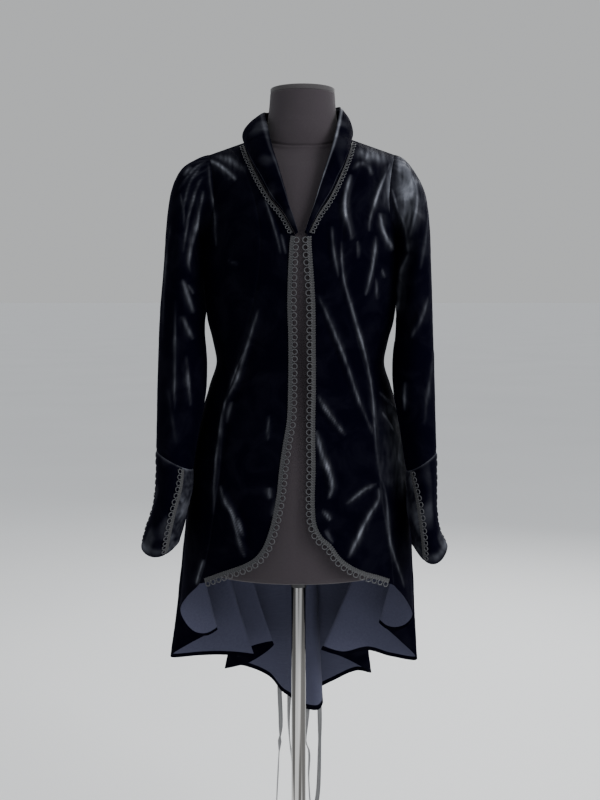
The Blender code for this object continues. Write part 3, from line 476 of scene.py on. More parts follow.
def mixed(tree, place, factor, first, second):  # two colours by a mask
    made = node(tree, "Mix", place, data_type="RGBA")
    made.inputs[6].default_value, made.inputs[7].default_value = (*first, 1), (*second, 1)
    tree.links.new(factor, made.inputs[0])
    return made.outputs[2]


def ranged(tree, place, value, low, high):
    return join(tree, node(tree, "MapRange", place, To_Min=low, To_Max=high), Value=value).outputs["Result"]


def bumped(tree, shader, height, strength, distance):
    bump = node(tree, "Bump", (-250, -350), Strength=strength, Distance=distance)
    join(tree, shader, Normal=join(tree, bump, Height=height).outputs["Normal"])


velvetLook = {
    "deep": (0.0003, 0.0002, 0.0030),     # pile standing up
    "brushedSheen": (0.1900, 0.2000, 0.2350),  # pile pressed flat along the creases, and the painted sheen highlights laid there
    "roughUp": 0.85, "roughBrushed": 0.45, "gloss": 0.30, "napPower": 1.5, "speckle": 0.010,
    "patches": 19.0, "grain": 620.0, "patchLow": 0.55, "bump": 0.35, "pile": 0.0016,
}


def buildVelvet():
    sizes = velvetLook
    look, tree, shader = newLook("StretchVelvet")
    pile = grouped(tree, pileGroup, (-900, 100), where(tree, "Object"), Patch_Scale=sizes["patches"],
                   Grain_Scale=sizes["grain"])
    patchy = ranged(tree, (-700, 150), pile.outputs["Crush"], sizes["patchLow"], 1.0)
    # the stored nap value paints sheen highlights into the base colour along the creases, partly as crushed pile
    pressedSheen = math2(tree, "MULTIPLY", (-550, 300), noted(tree, (-900, 350), "napSheen"), patchy)
    speckle = math2(tree, "MULTIPLY", (-550, 100), pile.outputs["Crush"], sizes["speckle"])
    shine = math2(tree, "ADD", (-400, 250), math2(tree, "POWER", (-480, 300), pressedSheen, sizes["napPower"]), speckle)
    join(tree, shader, Coat_Weight=math2(tree, "MULTIPLY", (-200, -50), shine, sizes["gloss"]),
         Base_Color=mixed(tree, (-200, 300), shine, sizes["deep"], sizes["brushedSheen"]),
         Roughness=ranged(tree, (-200, 100), shine, sizes["roughUp"], sizes["roughBrushed"]))
    settle(shader, Coat_Roughness=0.34, Sheen_Weight=0.012, Sheen_Roughness=0.30, Sheen_Tint=(0.34, 0.30, 0.90, 1),
           Specular_IOR_Level=0.013)
    bumped(tree, shader, pile.outputs["Height"], sizes["bump"], sizes["pile"])
    return look


def buildKnit(name, dark, light, ribs, rows, rough, sheen):
    look, tree, shader = newLook(name)
    knit = grouped(tree, knitGroup, (-800, 100), where(tree, "UV"), Ribs=ribs, Rows=rows)
    stitch, fuzz = knit.outputs["Stitch"], knit.outputs["Fuzz"]
    shade = math2(tree, "ADD", (-450, 200), math2(tree, "MULTIPLY", (-600, 200), stitch, 0.5),
                  math2(tree, "MULTIPLY", (-600, 50), fuzz, 0.6))
    join(tree, shader, Base_Color=mixed(tree, (-250, 250), shade, dark, light),
         Roughness=ranged(tree, (-250, 50), fuzz, rough - 0.06, rough + 0.08))
    settle(shader, Sheen_Weight=sheen, Sheen_Roughness=0.5, Specular_IOR_Level=0.2)
    bumped(tree, shader, stitch, 0.25, 0.0003)
    return look


def buildGimp():  # corded braid: painted shade between its cords, painted highlights on their crowns
    look, tree, shader = newLook("GimpBraid")
    twist = node(tree, "TexNoise", (-800, 50), Scale=1400.0, Detail=2.0)
    twist = join(tree, twist, Vector=where(tree, "Object")).outputs["Fac"]
    crown = math2(tree, "POWER", (-650, 250), noted(tree, (-800, 300), "crown"), 1.4)
    shade = math2(tree, "MULTIPLY", (-550, 200), crown, ranged(tree, (-650, 50), twist, 0.5, 1.3))
    # painted shade between the cords, painted highlight on their crowns
    join(tree, shader, Base_Color=mixed(tree, (-300, 250), shade, (0.0012, 0.0012, 0.0026), (0.042, 0.044, 0.050)),
         Roughness=ranged(tree, (-300, 50), twist, 0.48, 0.66))
    settle(shader, Sheen_Weight=0.25, Sheen_Roughness=0.4)
    bumped(tree, shader, twist, 0.4, 0.0004)
    return look


def buildRibbon():  # thin satin ribbon with fine cross ribs, lighter along its middle and darker towards its edges
    look, tree, shader = newLook("SatinRibbon")
    ribs = node(tree, "TexWave", (-800, 250), bands_direction="Y", Scale=500.0, Distortion=0.4)
    ribs = join(tree, ribs, Vector=where(tree, "UV")).outputs["Fac"]
    shade = math2(tree, "MULTIPLY", (-550, 200), ranged(tree, (-650, 200), ribs, 0.7, 1.0),
                  noted(tree, (-800, 0), "crown"))
    join(tree, shader, Base_Color=mixed(tree, (-300, 250), shade, (0.040, 0.040, 0.043), (0.200, 0.200, 0.205)),
         Roughness=ranged(tree, (-300, 50), ribs, 0.34, 0.46))
    settle(shader, Sheen_Weight=0.2)
    bumped(tree, shader, ribs, 0.2, 0.0003)
    return look


def buildHard(name, colour, worn, rough, scale):  # smooth finishes with faint wear and smears
    look, tree, shader = newLook(name)
    pile = grouped(tree, pileGroup, (-800, 100), where(tree, "Object"), Patch_Scale=scale, Grain_Scale=scale * 14)
    mask = math2(tree, "MULTIPLY", (-550, 200), pile.outputs["Crush"], pile.outputs["Grain"])
    join(tree, shader, Base_Color=mixed(tree, (-300, 250), mask, colour, worn),
         Roughness=ranged(tree, (-300, 50), mask, rough, rough + 0.14))
    bumped(tree, shader, pile.outputs["Grain"], 0.08, 0.0004)
    return look


def buildChrome():  # bright tube with painted reflection streaks, dark and light along its length
    look, tree, shader = newLook("PoleChrome")
    along = node(tree, "Mapping", (-1000, 100), Scale=(1.0, 1.0, 0.012))
    shineStreak = node(tree, "TexNoise", (-800, 100), Scale=150.0, Detail=1.5, Roughness=0.5)
    join(tree, shineStreak, Vector=join(tree, along, Vector=where(tree, "Object")).outputs["Vector"])
    dark = node(tree, "MapRange", (-550, 200), interpolation_type="SMOOTHSTEP", From_Min=0.44, From_Max=0.58)
    dark = join(tree, dark, Value=shineStreak.outputs["Fac"]).outputs["Result"]
    # dark and light painted reflection streaks in the base colour
    join(tree, shader, Base_Color=mixed(tree, (-300, 250), dark, (0.640, 0.625, 0.610), (0.110, 0.105, 0.100)),
         Roughness=ranged(tree, (-300, 50), shineStreak.outputs["Fac"], 0.08, 0.20))
    settle(shader, Metallic=1.0)
    return look


looks = {
    "velvet": buildVelvet(),
    "wrongSide": buildKnit("VelvetWrongSide", (0.0300, 0.0315, 0.0560), (0.0760, 0.0790, 0.1240), 620, 500, 0.92, 0.04),
    "gimp": buildGimp(),
    "ribbon": buildRibbon(),
    "jersey": buildKnit("FormJersey", (0.0238, 0.0193, 0.0226), (0.0460, 0.0380, 0.0444), 480, 380, 0.9, 0.12),
    "cap": buildKnit("CapJersey", (0.0330, 0.0305, 0.0322), (0.0640, 0.0600, 0.0625), 480, 380, 0.88, 0.25),
    "socket": buildHard("SocketPlastic", (0.010, 0.010, 0.011), (0.024, 0.024, 0.026), 0.42, 40.0),
    "chrome": buildChrome(),
    "base": buildHard("BasePaint", (0.020, 0.020, 0.022), (0.045, 0.045, 0.047), 0.36, 22.0),
}
print("materials made")


# Cloth with its creases

# Creases in millimetres: side (0 for both), points (out, height), half width, rise, and how flat the pile is brushed,
# which paints a sheen highlight along the crease
frontFolds = [
    (1, [(77, 1344), (68, 1310), (67, 1284), (78, 1236)], 6, 4, 1),
    (1, [(146, 1371), (124, 1323), (108, 1271), (107, 1251)], 5.5, 3, 0.75),
    (1, [(158, 1400), (149, 1341), (140, 1280)], 24, 1.2, 2.2),
    (1, [(70, 1378), (118, 1370), (170, 1362)], 24, 0.8, 0.78),
    (1, [(81, 1349), (98, 1360), (114, 1342)], 9, 1.6, 0.5),
    (1, [(147, 1325), (157, 1294), (172, 1262)], 5, 2.6, 0.8),
    (1, [(124, 1282), (129, 1253), (149, 1221)], 8, 3, 0.85),
    (1, [(119, 1246), (116, 1221), (111, 1192), (102, 1149)], 5, 2.8, 0.8),
    (1, [(46, 1259), (49, 1221), (58, 1177)], 5, 2, 0.5),
    (1, [(62, 1236), (64, 1185), (82, 1121), (102, 1056), (113, 1010), (117, 977), (121, 922),
         (128, 862)], 4.5, 2.4, 0.62),
    (1, [(88, 1236), (89, 1207)], 4, 1, 0.4),
    (1, [(119, 1177), (121, 1142)], 4.5, 1.2, 0.35),
    (1, [(128, 1192), (134, 1177)], 4.5, 1.2, 0.4),
    (1, [(26, 1149), (48, 1100), (71, 1043), (94, 977), (122, 916)], 5, 3, 0.6),
    (1, [(26, 990), (41, 964), (73, 922)], 5.5, 3.2, 0.6),
    (1, [(24, 934), (33, 900), (51, 844), (45, 824)], 6, 4.2, 1),
    (1, [(127, 845), (104, 837), (74, 815)], 5, 2.2, 0.5),
    (1, [(128, 837), (127, 818), (110, 794), (77, 726)], 6.5, 3.6, 0.75),
    (1, [(129, 858), (139, 830), (149, 742), (177, 658)], 4.5, 2.2, 0.42),
    (1, [(148, 995), (164, 930), (170, 884), (170, 800)], 34, 1, 2.1),
    (1, [(129, 990), (148, 970), (168, 944), (177, 906), (172, 867)], 5, 2.4, 0.9),
    (1, [(133, 958), (148, 934), (162, 910)], 4.5, 2, 0.7),
    (1, [(36, 806), (50, 788)], 5, 1.4, 0.42),
    (1, [(40, 775), (54, 751)], 5, 1.4, 0.48),
    (-1, [(156, 1375), (139, 1366), (122, 1353), (104, 1335)], 6.5, 2.2, 0.95),
    (-1, [(150, 1384), (122, 1375), (85, 1350)], 13, 1, 0.66),
    (-1, [(154, 1366), (148, 1318), (139, 1273), (136, 1228)], 4.2, 1.4, 0.52),
    (-1, [(58, 1304), (50, 1281), (36, 1236), (31, 1214)], 3.8, 2.2, 0.66),
    (-1, [(31, 1247), (27, 1229), (23, 1214)], 4, 1.6, 0.6),
    (-1, [(118, 1206), (99, 1200)], 5, 1.2, 0.3),
    (-1, [(65, 1128), (78, 1087), (102, 1010), (121, 970), (131, 910), (137, 846), (138, 791)], 5, 3, 0.7),
    (-1, [(83, 1068), (101, 1030), (116, 990)], 4.5, 2, 0.5),
    (-1, [(109, 977), (119, 940)], 7, 2, 0.55),
    (-1, [(49, 958), (50, 916)], 4.5, 1, 0.4),
    (-1, [(128, 842), (118, 816), (104, 793), (90, 739), (85, 728)], 5.5, 4, 1),
    (-1, [(98, 791), (88, 760)], 5, 1.8, 0.75),
    (-1, [(46, 843), (45, 823)], 7, 1.2, 0.6),
    (-1, [(33, 827), (36, 808), (43, 796)], 5, 1.6, 0.6),
    (-1, [(155, 715), (169, 669)], 4.5, 1.4, 0.8),
]
backFolds = [
    (0, [(18, 1052), (32, 1120), (58, 1205)], 9, 3.6, 0.35),
    (0, [(58, 1050), (74, 1105), (100, 1175)], 8, 3.4, 0.4),
    (0, [(98, 1045), (110, 1090), (130, 1150)], 8, 3, 0.3),
    (1, [(36, 1022), (42, 965), (60, 900)], 9, 4, 0.45),
    (-1, [(44, 1020), (52, 960), (58, 880)], 8.5, 3.8, 0.4),
    (0, [(80, 1022), (94, 970), (102, 910)], 8, 3.4, 0.35),
    (1, [(140, 1340), (104, 1296), (60, 1272)], 10, 3.2, 0.38),
    (-1, [(142, 1332), (112, 1300), (76, 1262)], 10, 3.4, 0.35),
    (0, [(150, 1262), (122, 1225), (86, 1200)], 8, 3.2, 0.42),
    (0, [(122, 1400), (80, 1384), (40, 1380)], 9, 1.6, 0.3),
]
sleeveFolds = [
    (1, [(147, 1325), (157, 1294), (172, 1262), (176, 1218)], 5, 2.6, 0.8),
    (1, [(167, 1362), (183, 1326), (185, 1285), (177, 1240)], 6, 3.2, 0.8),
    (1, [(152, 1405), (164, 1335), (174, 1235)], 26, 1, 1.4),
    (1, [(176, 1218), (169, 1192), (161, 1133), (152, 1114)], 5, 2.8, 0.8),
    (1, [(204, 1290), (198, 1240), (190, 1190)], 6, 2.8, 0.35),
    (1, [(205, 1150), (192, 1110), (178, 1080)], 7, 3, 0.3),
    (1, [(170, 1010), (170, 962)], 4.5, 1.4, 0.5),
    (1, [(216, 1060), (205, 1000), (198, 940)], 8, 2.6, 0.22),
    (-1, [(154, 1366), (148, 1318), (139, 1273), (136, 1228)], 4.2, 1.4, 0.52),
    (-1, [(158, 1370), (174, 1356), (201, 1317)], 4, 1.8, 0.32),
    (-1, [(180, 1359), (193, 1342)], 8, 1, 0.5),
    (-1, [(161, 1344), (171, 1324), (183, 1280), (190, 1217)], 3.8, 2.4, 0.46),
    (-1, [(166, 1360), (182, 1330), (196, 1270)], 3.6, 2, 0.34),
    (-1, [(160, 1320), (175, 1252), (182, 1202), (178, 1184)], 4.2, 2.8, 0.62),
    (-1, [(196, 1315), (191, 1284), (189, 1254)], 3.8, 1.8, 0.3),
    (-1, [(190, 1176), (184, 1154), (174, 1120)], 6, 3.4, 0.8),
    (-1, [(182, 1168), (173, 1152)], 6.5, 1.4, 0.6),
    (-1, [(192, 1118), (184, 1098), (174, 1078)], 6.5, 3.4, 0.8),
    (-1, [(202, 1142), (202, 1077), (202, 963)], 4.5, 1.8, 0.45),
    (-1, [(210, 1266), (217, 1198), (224, 1077)], 5, 2, 0.32),
    (-1, [(185, 1053), (177, 970)], 5.5, 2.2, 0.5),
    (-1, [(212, 1000), (204, 950), (198, 910)], 7, 2.2, 0.2),
]

foldSizes = {
    "samples": 24, "round": 0.6,
    "trough": 0.55, "troughOff": 1.5, "troughWide": 1.2,  # hollow beside a crease, in its half widths
    "ridge": 0.36, "slope": 1.15,                         # half widths of the two parts of its shine
    "wide": 0.011, "taper": (0.8, 2.4),                   # how the shine of narrow and wide creases fades at the ends
    # the sheen is painted weaker on the wearer's right, the side turned from the light: painted shade
    "reach": 4, "shadedSide": 0.85,
}


def nearLine(line, here):  # how far each point is from a line, how far along it, and on which side
    near, along, across = np.full(len(here), 9.0), np.zeros(len(here)), np.zeros(len(here))
    for k, step in enumerate(np.diff(line, axis=0)):
        t = np.clip(((here - line[k]) @ step) / float(np.linalg.norm(step)) ** 2, 0, 1)
        gap = here - line[k] - t[:, None] * step
        far = np.linalg.norm(gap, axis=1)
        closer = far < near
        near = np.where(closer, far, near)
        across = np.where(closer, far * np.sign(gap @ np.array([step[1], -step[0]])), across)
        along = np.where(closer, (k + t) / (len(line) - 1), along)
    return near, along, across


def foldField(folds, side, outs, heights):  # rise and painted sheen highlights, as brushed pile, of all creases at many points
    rise, brushedSheen, sizes = np.zeros(len(outs)), np.zeros(len(outs)), foldSizes
    here = np.stack([outs, heights], axis=1)
    for own, points, width, high, napSheen in folds:
        if own not in (0, side):
            continue
        width, high = width / 1000, high / 1000
        near, along, across = nearLine(through(metres(points))(np.linspace(0, 1, sizes["samples"])), here)
        taper = np.clip(np.sin(math.pi * np.clip(along, 0.0, 1.0)), 0, 1) ** sizes["round"]
        reach = near < sizes["reach"] * width
        hollow = bell(across - sizes["troughOff"] * width, sizes["troughWide"] * width) * reach * taper
        rise += high * (bell(near, width) * taper - sizes["trough"] * hollow)
        ridge = bell(across + 0.25 * width, sizes["ridge"] * width)
        slope = bell(across + 0.45 * width, sizes["slope"] * width)
        close, ragged = np.flatnonzero(reach), np.zeros(len(here))
        # each crease gets a painted sheen streak along one flank
        ragged[close] = [noise.noise(Vector((outs[k] * 190, heights[k] * 45, high * 900 + own))) for k in close]
        fade = taper ** sizes["taper"][int(width >= sizes["wide"])]
        shineStreak = (0.85 * ridge + 0.30 * slope) * fade * np.clip(0.90 + 0.70 * ragged, 0, 1.2)
        brushedSheen[close] = np.maximum(brushedSheen, napSheen * shineStreak)[close]
    # painted shade: less sheen on the wearer's right
    return rise, brushedSheen * (1.0 if side > 0 else sizes["shadedSide"])


def gridNormals(places, sign, closed=False):
    across = np.roll(places, -1, axis=1) - np.roll(places, 1, axis=1) if closed else np.gradient(places, axis=1)
    return units(np.cross(across, np.gradient(places, axis=0))) * sign


def outwardSign(places, closed=False, middle=(0.003, 0.0, 0.0)):
    return 1.0 if float((gridNormals(places, 1.0, closed) * (places - middle) * flatDown).sum()) > 0 else -1.0


def gridOver(surface, downs, columns):  # u, v and points of a surface over a grid
    v, u = (values.ravel() for values in np.meshgrid(downs, columns, indexing="ij"))
    points = surface(u, v)
    return u, v, points, points.reshape(len(downs), len(columns), 3)


def raised(places, normals, rise):
    return places + normals * rise.reshape(places.shape[:2])[..., None]


def unevenness(points, scale, seed):  # slow random rise and fall of the cloth, from -1 to 1
    shift = Vector((seed * 3.17, seed * 1.31, seed * 2.53))
    return np.array([noise.noise(Vector(p) * scale + shift) for p in points])


def turnOutward(piece):
    shell = bmesh.new()
    shell.from_mesh(piece.data)
    bmesh.ops.recalc_face_normals(shell, faces=shell.faces)
    shell.to_mesh(piece.data)
    shell.free()


def layerFaces(high, wide, closed=False):  # faces of two equal grids of points, and of the rims between them
    shift = high * wide
    grid = np.arange(shift).reshape(high, wide)
    grid = np.concatenate([grid, grid[:, :1]], axis=1) if closed else grid
    a, b, c, d = grid[:-1, :-1], grid[:-1, 1:], grid[1:, 1:], grid[1:, :-1]
    lines = [grid[0], grid[-1][::-1]] + ([] if closed else [grid[:, 0][::-1], grid[:, -1]])
    rims = [np.stack([line[:-1], line[:-1] + shift, line[1:] + shift, line[1:]], -1) for line in lines]
    return [np.stack([a, b, c, d], -1).reshape(-1, 4), np.stack([a, d, c, b], -1).reshape(-1, 4) + shift,
            np.concatenate(rims)]


def finishPiece(name, vertices, faces, materials, facts, faceLooks=None, uvs=None, sharp=50):
    mesh = bpy.data.meshes.new(name)
    mesh.from_pydata(np.concatenate(vertices).tolist(), [], np.concatenate(faces).tolist())
    for look in materials:
        mesh.materials.append(look)
    if faceLooks is not None:
        mesh.polygons.foreach_set("material_index", np.asarray(faceLooks, np.int32))
    for label, values in facts.items():
        mesh.attributes.new(label, "FLOAT", "POINT").data.foreach_set("value", np.asarray(values, np.float32))
    if uvs is not None:
        corners = np.zeros(len(mesh.loops), np.int32)
        mesh.loops.foreach_get("vertex_index", corners)
        both = np.concatenate([uvs, uvs]).astype(np.float32)
        mesh.uv_layers.new(name="clothUV").data.foreach_set("uv", both[corners].ravel())
    mesh.shade_smooth()
    mesh.set_sharp_from_angle(angle=math.radians(sharp))
    mesh.update()
    piece = bpy.data.objects.new(name, mesh)
    bpy.context.scene.collection.objects.link(piece)
    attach(piece, "root")
    return piece


def clothPiece(name, places, sign, napSheen, inside="wrongSide", closed=False, hemRows=0, halves=None):
    high, wide = places.shape[:2]
    normals = gridNormals(places, sign, closed)
    halves = np.full(wide, panelSizes["thickness"] / 2) if halves is None else halves
    half = np.tile(halves[None, :, None], (high, 1, 1))
    if hemRows:
        half[-hemRows:] += panelSizes["hemSwell"] * np.sin(np.linspace(0.2, math.pi, hemRows))[:, None, None]
    vertices = [(places + normals * half).reshape(-1, 3), (places - normals * half).reshape(-1, 3)]
    outer, inner, rims = layerFaces(high, wide, closed)
    isHem = np.repeat(np.arange(high - 1) >= high - 1 - hemRows, len(outer) // (high - 1))
    faceLooks = np.concatenate([np.zeros(len(outer)), np.where(isHem, 0, 1), np.zeros(len(rims))])
    faces = np.concatenate([outer, inner, rims])
    if sign < 0:  # the grid runs the other way round, so every face is turned
        faces = faces[:, ::-1]
    arcU = np.pad(np.cumsum(np.linalg.norm(np.diff(places, axis=1), axis=2), axis=1), ((0, 0), (1, 0)))
    arcV = np.pad(np.cumsum(np.linalg.norm(np.diff(places, axis=0), axis=2), axis=0), ((1, 0), (0, 0)))
    piece = finishPiece(name + "Cloth", vertices, [faces], [looks["velvet"], looks[inside]], {"napSheen": np.tile(napSheen, 2)},
                        faceLooks, np.stack([arcU.ravel(), arcV.ravel()], axis=1))
    print(f"{piece.name}: {arcU[:, -1].max():.3f} wide, {arcV[-1].max():.3f} long")
    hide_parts(name)


panelSizes = {
    "step": {"Front": 0.0032, "SideFront": 0.0032, "Back": 0.0042},  # spacing of the cloth's points down a panel
    "across": {"Front": 38, "SideFront": 52, "Back": 134},
    "width": {"Front": 0.085, "SideFront": 0.110, "Back": 0.300},
    "seamRows": (0, 0.0013, 0.0027, 0.0045),  # points beside a seam
    "thickness": 0.0016,
    "frontEnds": (96, 114),  # turns between which the creases of the back take over
    "seamDip": 0.0009, "seamWidth": 0.0024,  # how far and how wide the cloth is drawn in at a seam
    "seamFade": 0.020, "shoulderFade": 0.018, "braidFade": (0.008, 0.024),  # where creases die out
    "hemRows": 2, "hemSwell": 0.0005,
    "wave": 0.0009, "waveScale": 21.0,
    "crush": 0.00030, "crushScale": 85.0,
    "neckFade": 1.36, "waistWidth": 0.010, "waistFade": 0.85,
    "armholeDip": 0.4, "armholeBelow": 0.012,  # share of the dip beside the armhole, and how far below it ends
    "seamSheen": (0.10, 0.04), "seamNapLevel": 1.0, "seamNapFrom": 0.004,  # brushed pile at the seams, with a painted sheen along them
}


def downLevels(side, place, step):  # levels evenly spaced along the middle of a panel
    top, bottom = formSizes["shoulderLevel"], formSizes["hemLevel"]
    fine = top - (top - bottom) * np.linspace(0, 1, 1500) ** 1.8
    total = runLength(bodyPoint(side, *place(np.full(len(fine), 0.5), fine)))
    return np.interp(np.linspace(0, total[-1], int(total[-1] / step) + 1), total, fine)


def panelColumns(name):  # closer together beside the seams
    edge = np.array(panelSizes["seamRows"]) / panelSizes["width"][name]
    middle = np.linspace(edge[-1], 1 - edge[-1], panelSizes["across"][name])
    return np.concatenate([edge[:-1], middle, 1 - edge[:-1][::-1]])


def bodyCloth(name, side, place):
    sizes, columns = panelSizes, panelColumns(name)
    u, v, points, places = gridOver(lambda u, v: bodyPoint(side, *place(u, v)),
                                    downLevels(side, place, sizes["step"][name]), columns)
    turns, levels = place(u, v)
    sign = outwardSign(places)
    normals = gridNormals(places, sign)
    outs, heights = side * (points[:, 0] - leanAt(points[:, 2])), points[:, 2]
    front = 1 - ramp(turns, *sizes["frontEnds"])
    rise, napSheen = np.zeros(len(points)), np.zeros(len(points))
    for folds, weight in ((frontFolds, front), (backFolds, 1 - front)):
        if float(weight.max()) > 0.01:
            high, brushedSheen = foldField(folds, side, outs, heights)
            rise, napSheen = rise + high * weight, napSheen + brushedSheen * weight
    rise += sizes["wave"] * unevenness(points, sizes["waveScale"], side + 3)
    rise += sizes["crush"] * unevenness(points, sizes["crushScale"], side + 8)
    width = np.linalg.norm(np.diff(places, axis=1), axis=2).sum(axis=1).repeat(len(columns))
    first, last = u * width, (1 - u) * width
    shoulder = runLength(places[:, len(columns) // 2]).repeat(len(columns))
    isHigh = v > formSizes["underarmLevel"] - sizes["armholeBelow"]
    keep = ramp(shoulder, 0.0, sizes["shoulderFade"])
    if name == "Front":
        keep = keep * ramp(first, *sizes["braidFade"])
    if name == "SideFront":
        keep = keep * np.where(isHigh, ramp(last, 0.0, sizes["seamFade"]), 1.0)
    if name == "Back":
        keep = keep * np.where(isHigh, ramp(first, 0.0, sizes["seamFade"]), 1.0)
        keep = keep * np.where(v > sizes["neckFade"], ramp(last, 0.0, sizes["seamFade"]), 1.0)
        keep = keep * (1 - sizes["waistFade"] * bell(levels - formSizes["waistLevel"], sizes["waistWidth"]))
    dip = bell(shoulder, sizes["seamWidth"])
    if name != "Front":
        shallow = np.where(isHigh & (name == "Back"), sizes["armholeDip"], 1.0)
        dip = np.maximum(dip, bell(first, sizes["seamWidth"]) * shallow)
    dip = np.maximum(dip, bell(last, sizes["seamWidth"]))
    rise = rise * keep - sizes["seamDip"] * dip
    # the seams are painted lighter: pressed pile and a painted sheen highlight
    worn = np.where(levels < sizes["seamNapLevel"], *sizes["seamSheen"])
    napSheen = np.clip(napSheen + worn * dip * (shoulder > sizes["seamNapFrom"]), 0, 1)
    clothPiece(name + sideNames[side], raised(places, normals, rise), sign, napSheen, hemRows=sizes["hemRows"])


for side in (1, -1):
    for name, place in (("Front", frontPanel(side)), ("SideFront", sidePanel(side)), ("Back", backPanel(side))):
        bodyCloth(name, side, place)
print("body panels sewn")


sleeveSizes = {
    "around": 112, "down": 206,
    "gathers": 26, "gatherRise": 0.0006, "gatherSheen": 0.16, "gatherSway": 1.7,
    "headPlace": 0.07, "headWidth": 0.075, "headSpan": (0.1, 0.8),
    "frontSpan": (-0.15, 0.20), "topFade": 0.035, "endFade": 0.030,
    "backShift": (-4, -13), "backSheen": 0.8,  # the hidden half's creases, moved by millimetres
    "wave": 0.0011, "waveScale": 26.0, "crush": 0.00025, "crushScale": 85.0,
    "topDip": (0.0008, 0.006), "endDip": (0.0010, 0.008),
    # how far the underarm lies closer to the body, and from where to where that ends
    "closeAll": 0.0004, "closeUnder": {-1: 0.0021, 1: 0.0034}, "closeFade": {-1: (0.16, 0.40), 1: (0.39, 0.49)},
}


def sleeveCloth(side):
    sizes = sleeveSizes
    u, v, points, places = gridOver(sleeveSurface(side), np.linspace(0, 1, sizes["down"]),
                                    np.arange(sizes["around"]) / sizes["around"])
    sign = outwardSign(places, True, places.mean(axis=1, keepdims=True))
    normals = gridNormals(places, sign, True)
    outs, heights = side * (points[:, 0] - leanAt(points[:, 2])), points[:, 2]
    angle = 2 * math.pi * u
    front = ramp(np.sin(angle), *sizes["frontSpan"])
    # painted sheen highlights along the sleeve creases, in front and on the hidden half
    frontRise, frontSheen = foldField(sleeveFolds, side, outs, heights)
    behind = [(-own, [np.add(point, sizes["backShift"]) for point in line], *rest)
              for own, line, *rest in sleeveFolds]
    backRise, backSheen = foldField(behind, side, outs, heights)
    rise = frontRise * front + backRise * (1 - front)
    napSheen = frontSheen * front + backSheen * (1 - front) * sizes["backSheen"]
    head = bell(v - sizes["headPlace"], sizes["headWidth"]) * ramp(np.cos(angle), *sizes["headSpan"])
    sway = sizes["gatherSway"] * np.sin(3 * angle)
    rise += sizes["gatherRise"] * head * np.sin(sizes["gathers"] * angle + sway)
    # painted highlight on one flank of each gather of the sleeve head
    napSheen = np.clip(napSheen + sizes["gatherSheen"] * head * np.maximum(np.sin(sizes["gathers"] * angle + 0.8), 0), 0, 1)
    rise += sizes["wave"] * unevenness(points * np.array([1.0, 1.0, 0.45]), sizes["waveScale"], side + 5)
    rise += sizes["crush"] * unevenness(points, sizes["crushScale"], side + 2)
    rise *= ramp(v, 0.0, sizes["topFade"]) * ramp(1 - v, 0.0, sizes["endFade"])
    for (depth, width), distance in ((sizes["topDip"], v), (sizes["endDip"], 1 - v)):
        rise -= depth * bell(distance, width)
    places = raised(places, normals, rise)
    closing = sizes["closeAll"] + sizes["closeUnder"][side] * (1 - np.cos(angle)) / 2
    closing *= 1 - ramp(v, *sizes["closeFade"][side])
    places[..., 0] -= side * closing.reshape(places.shape[:2])
    clothPiece("Sleeve" + sideNames[side], places, sign, napSheen, closed=True)


cuffPieceSizes = {
    "down": 56, "across": {True: 40, False: 64}, "hemRows": 4,  # the top panel is True, the under panel False
    "wave": {True: 0.00042, False: 0.0012}, "waveScale": 42.0, "crush": 0.0003, "crushScale": 95.0,
    "seamDip": 0.0008, "topSeam": 0.012, "sideSeam": 0.02, "sideFade": 0.12, "topFade": 0.06,
    "seamSheen": 0.42, "seamWidth": 0.014, "waveSheen": {True: 0.25, False: 0.75}, "waveGain": 2.2,
    "hemSheen": 0.30, "hemPlace": 0.93, "hemWidth": 0.05,
    "frontSheen": {-1: 0.50, 1: 0.26}, "frontWidth": 0.30, "mottle": (0.65, 0.60), "mottleScale": 150.0,
}


def cuffCloth(side, top):
    sizes = cuffPieceSizes
    u, v, points, places = gridOver(cuffPanel(side, top), np.linspace(0, 1, sizes["down"]),
                                    np.linspace(0, 1, sizes["across"][top]))
    sign = outwardSign(places, False, cuffCentre(side) + np.array([0.001, 0.0, 0.0]))
    normals = gridNormals(places, sign)
    wave = unevenness(points * np.array([1.0, 1.0, 0.5]), sizes["waveScale"], side + 6)
    rise = sizes["wave"][top] * wave + sizes["crush"] * unevenness(points, sizes["crushScale"], side + 1)
    fade, seam = sizes["sideFade"], sizes["sideSeam"]
    rise *= ramp(u, 0.0, fade) * ramp(1 - u, 0.0, fade) * ramp(v, 0.0, sizes["topFade"])
    rise -= sizes["seamDip"] * np.clip(bell(v, sizes["topSeam"]) + bell(u, seam) + bell(1 - u, seam), 0, 1)
    # painted highlights: on the raised waves, along the hem and the top seam, and on the under panel beside its front
    # seam, more on the wearer's right
    napSheen = sizes["waveSheen"][top] * np.clip(wave * sizes["waveGain"], 0, 1)
    napSheen += sizes["hemSheen"] * bell(v - sizes["hemPlace"], sizes["hemWidth"])
    if not top:
        mottled = sizes["mottle"][0] + sizes["mottle"][1] * unevenness(points, sizes["mottleScale"], side + 4)
        napSheen = napSheen * 0.5 + sizes["frontSheen"][side] * bell(u, sizes["frontWidth"]) * mottled
    napSheen = np.clip(napSheen + sizes["seamSheen"] * bell(v, sizes["seamWidth"]), 0, 1)
    clothPiece(("CuffTop" if top else "CuffUnder") + sideNames[side], raised(places, normals, rise), sign, napSheen,
               hemRows=sizes["hemRows"])


collarSizes = {
    "along": 300, "across": 30, "thickness": 0.0030, "swell": 0.0012, "seamHalf": 0.0015,
    "seamShare": 0.06, "edgeShare": 0.07, "spread": 1.25,
    "wave": 0.0016, "waveScale": 34.0, "crush": 0.0004, "crushScale": 95.0, "fade": 0.25,
    "waveSheen": 0.22, "waveGain": 1.8,
    # painted sheen highlights, as brushed pile, on the wearer's left and right side, their place across and their width
    "rolledSheen": (0.95, 0.30), "rolled": (0.95, 0.035), "stitchSheen": (0.55, 0.40), "stitched": (0.16, 0.020),
    "stitchSpan": (0.45, 0.60),
}


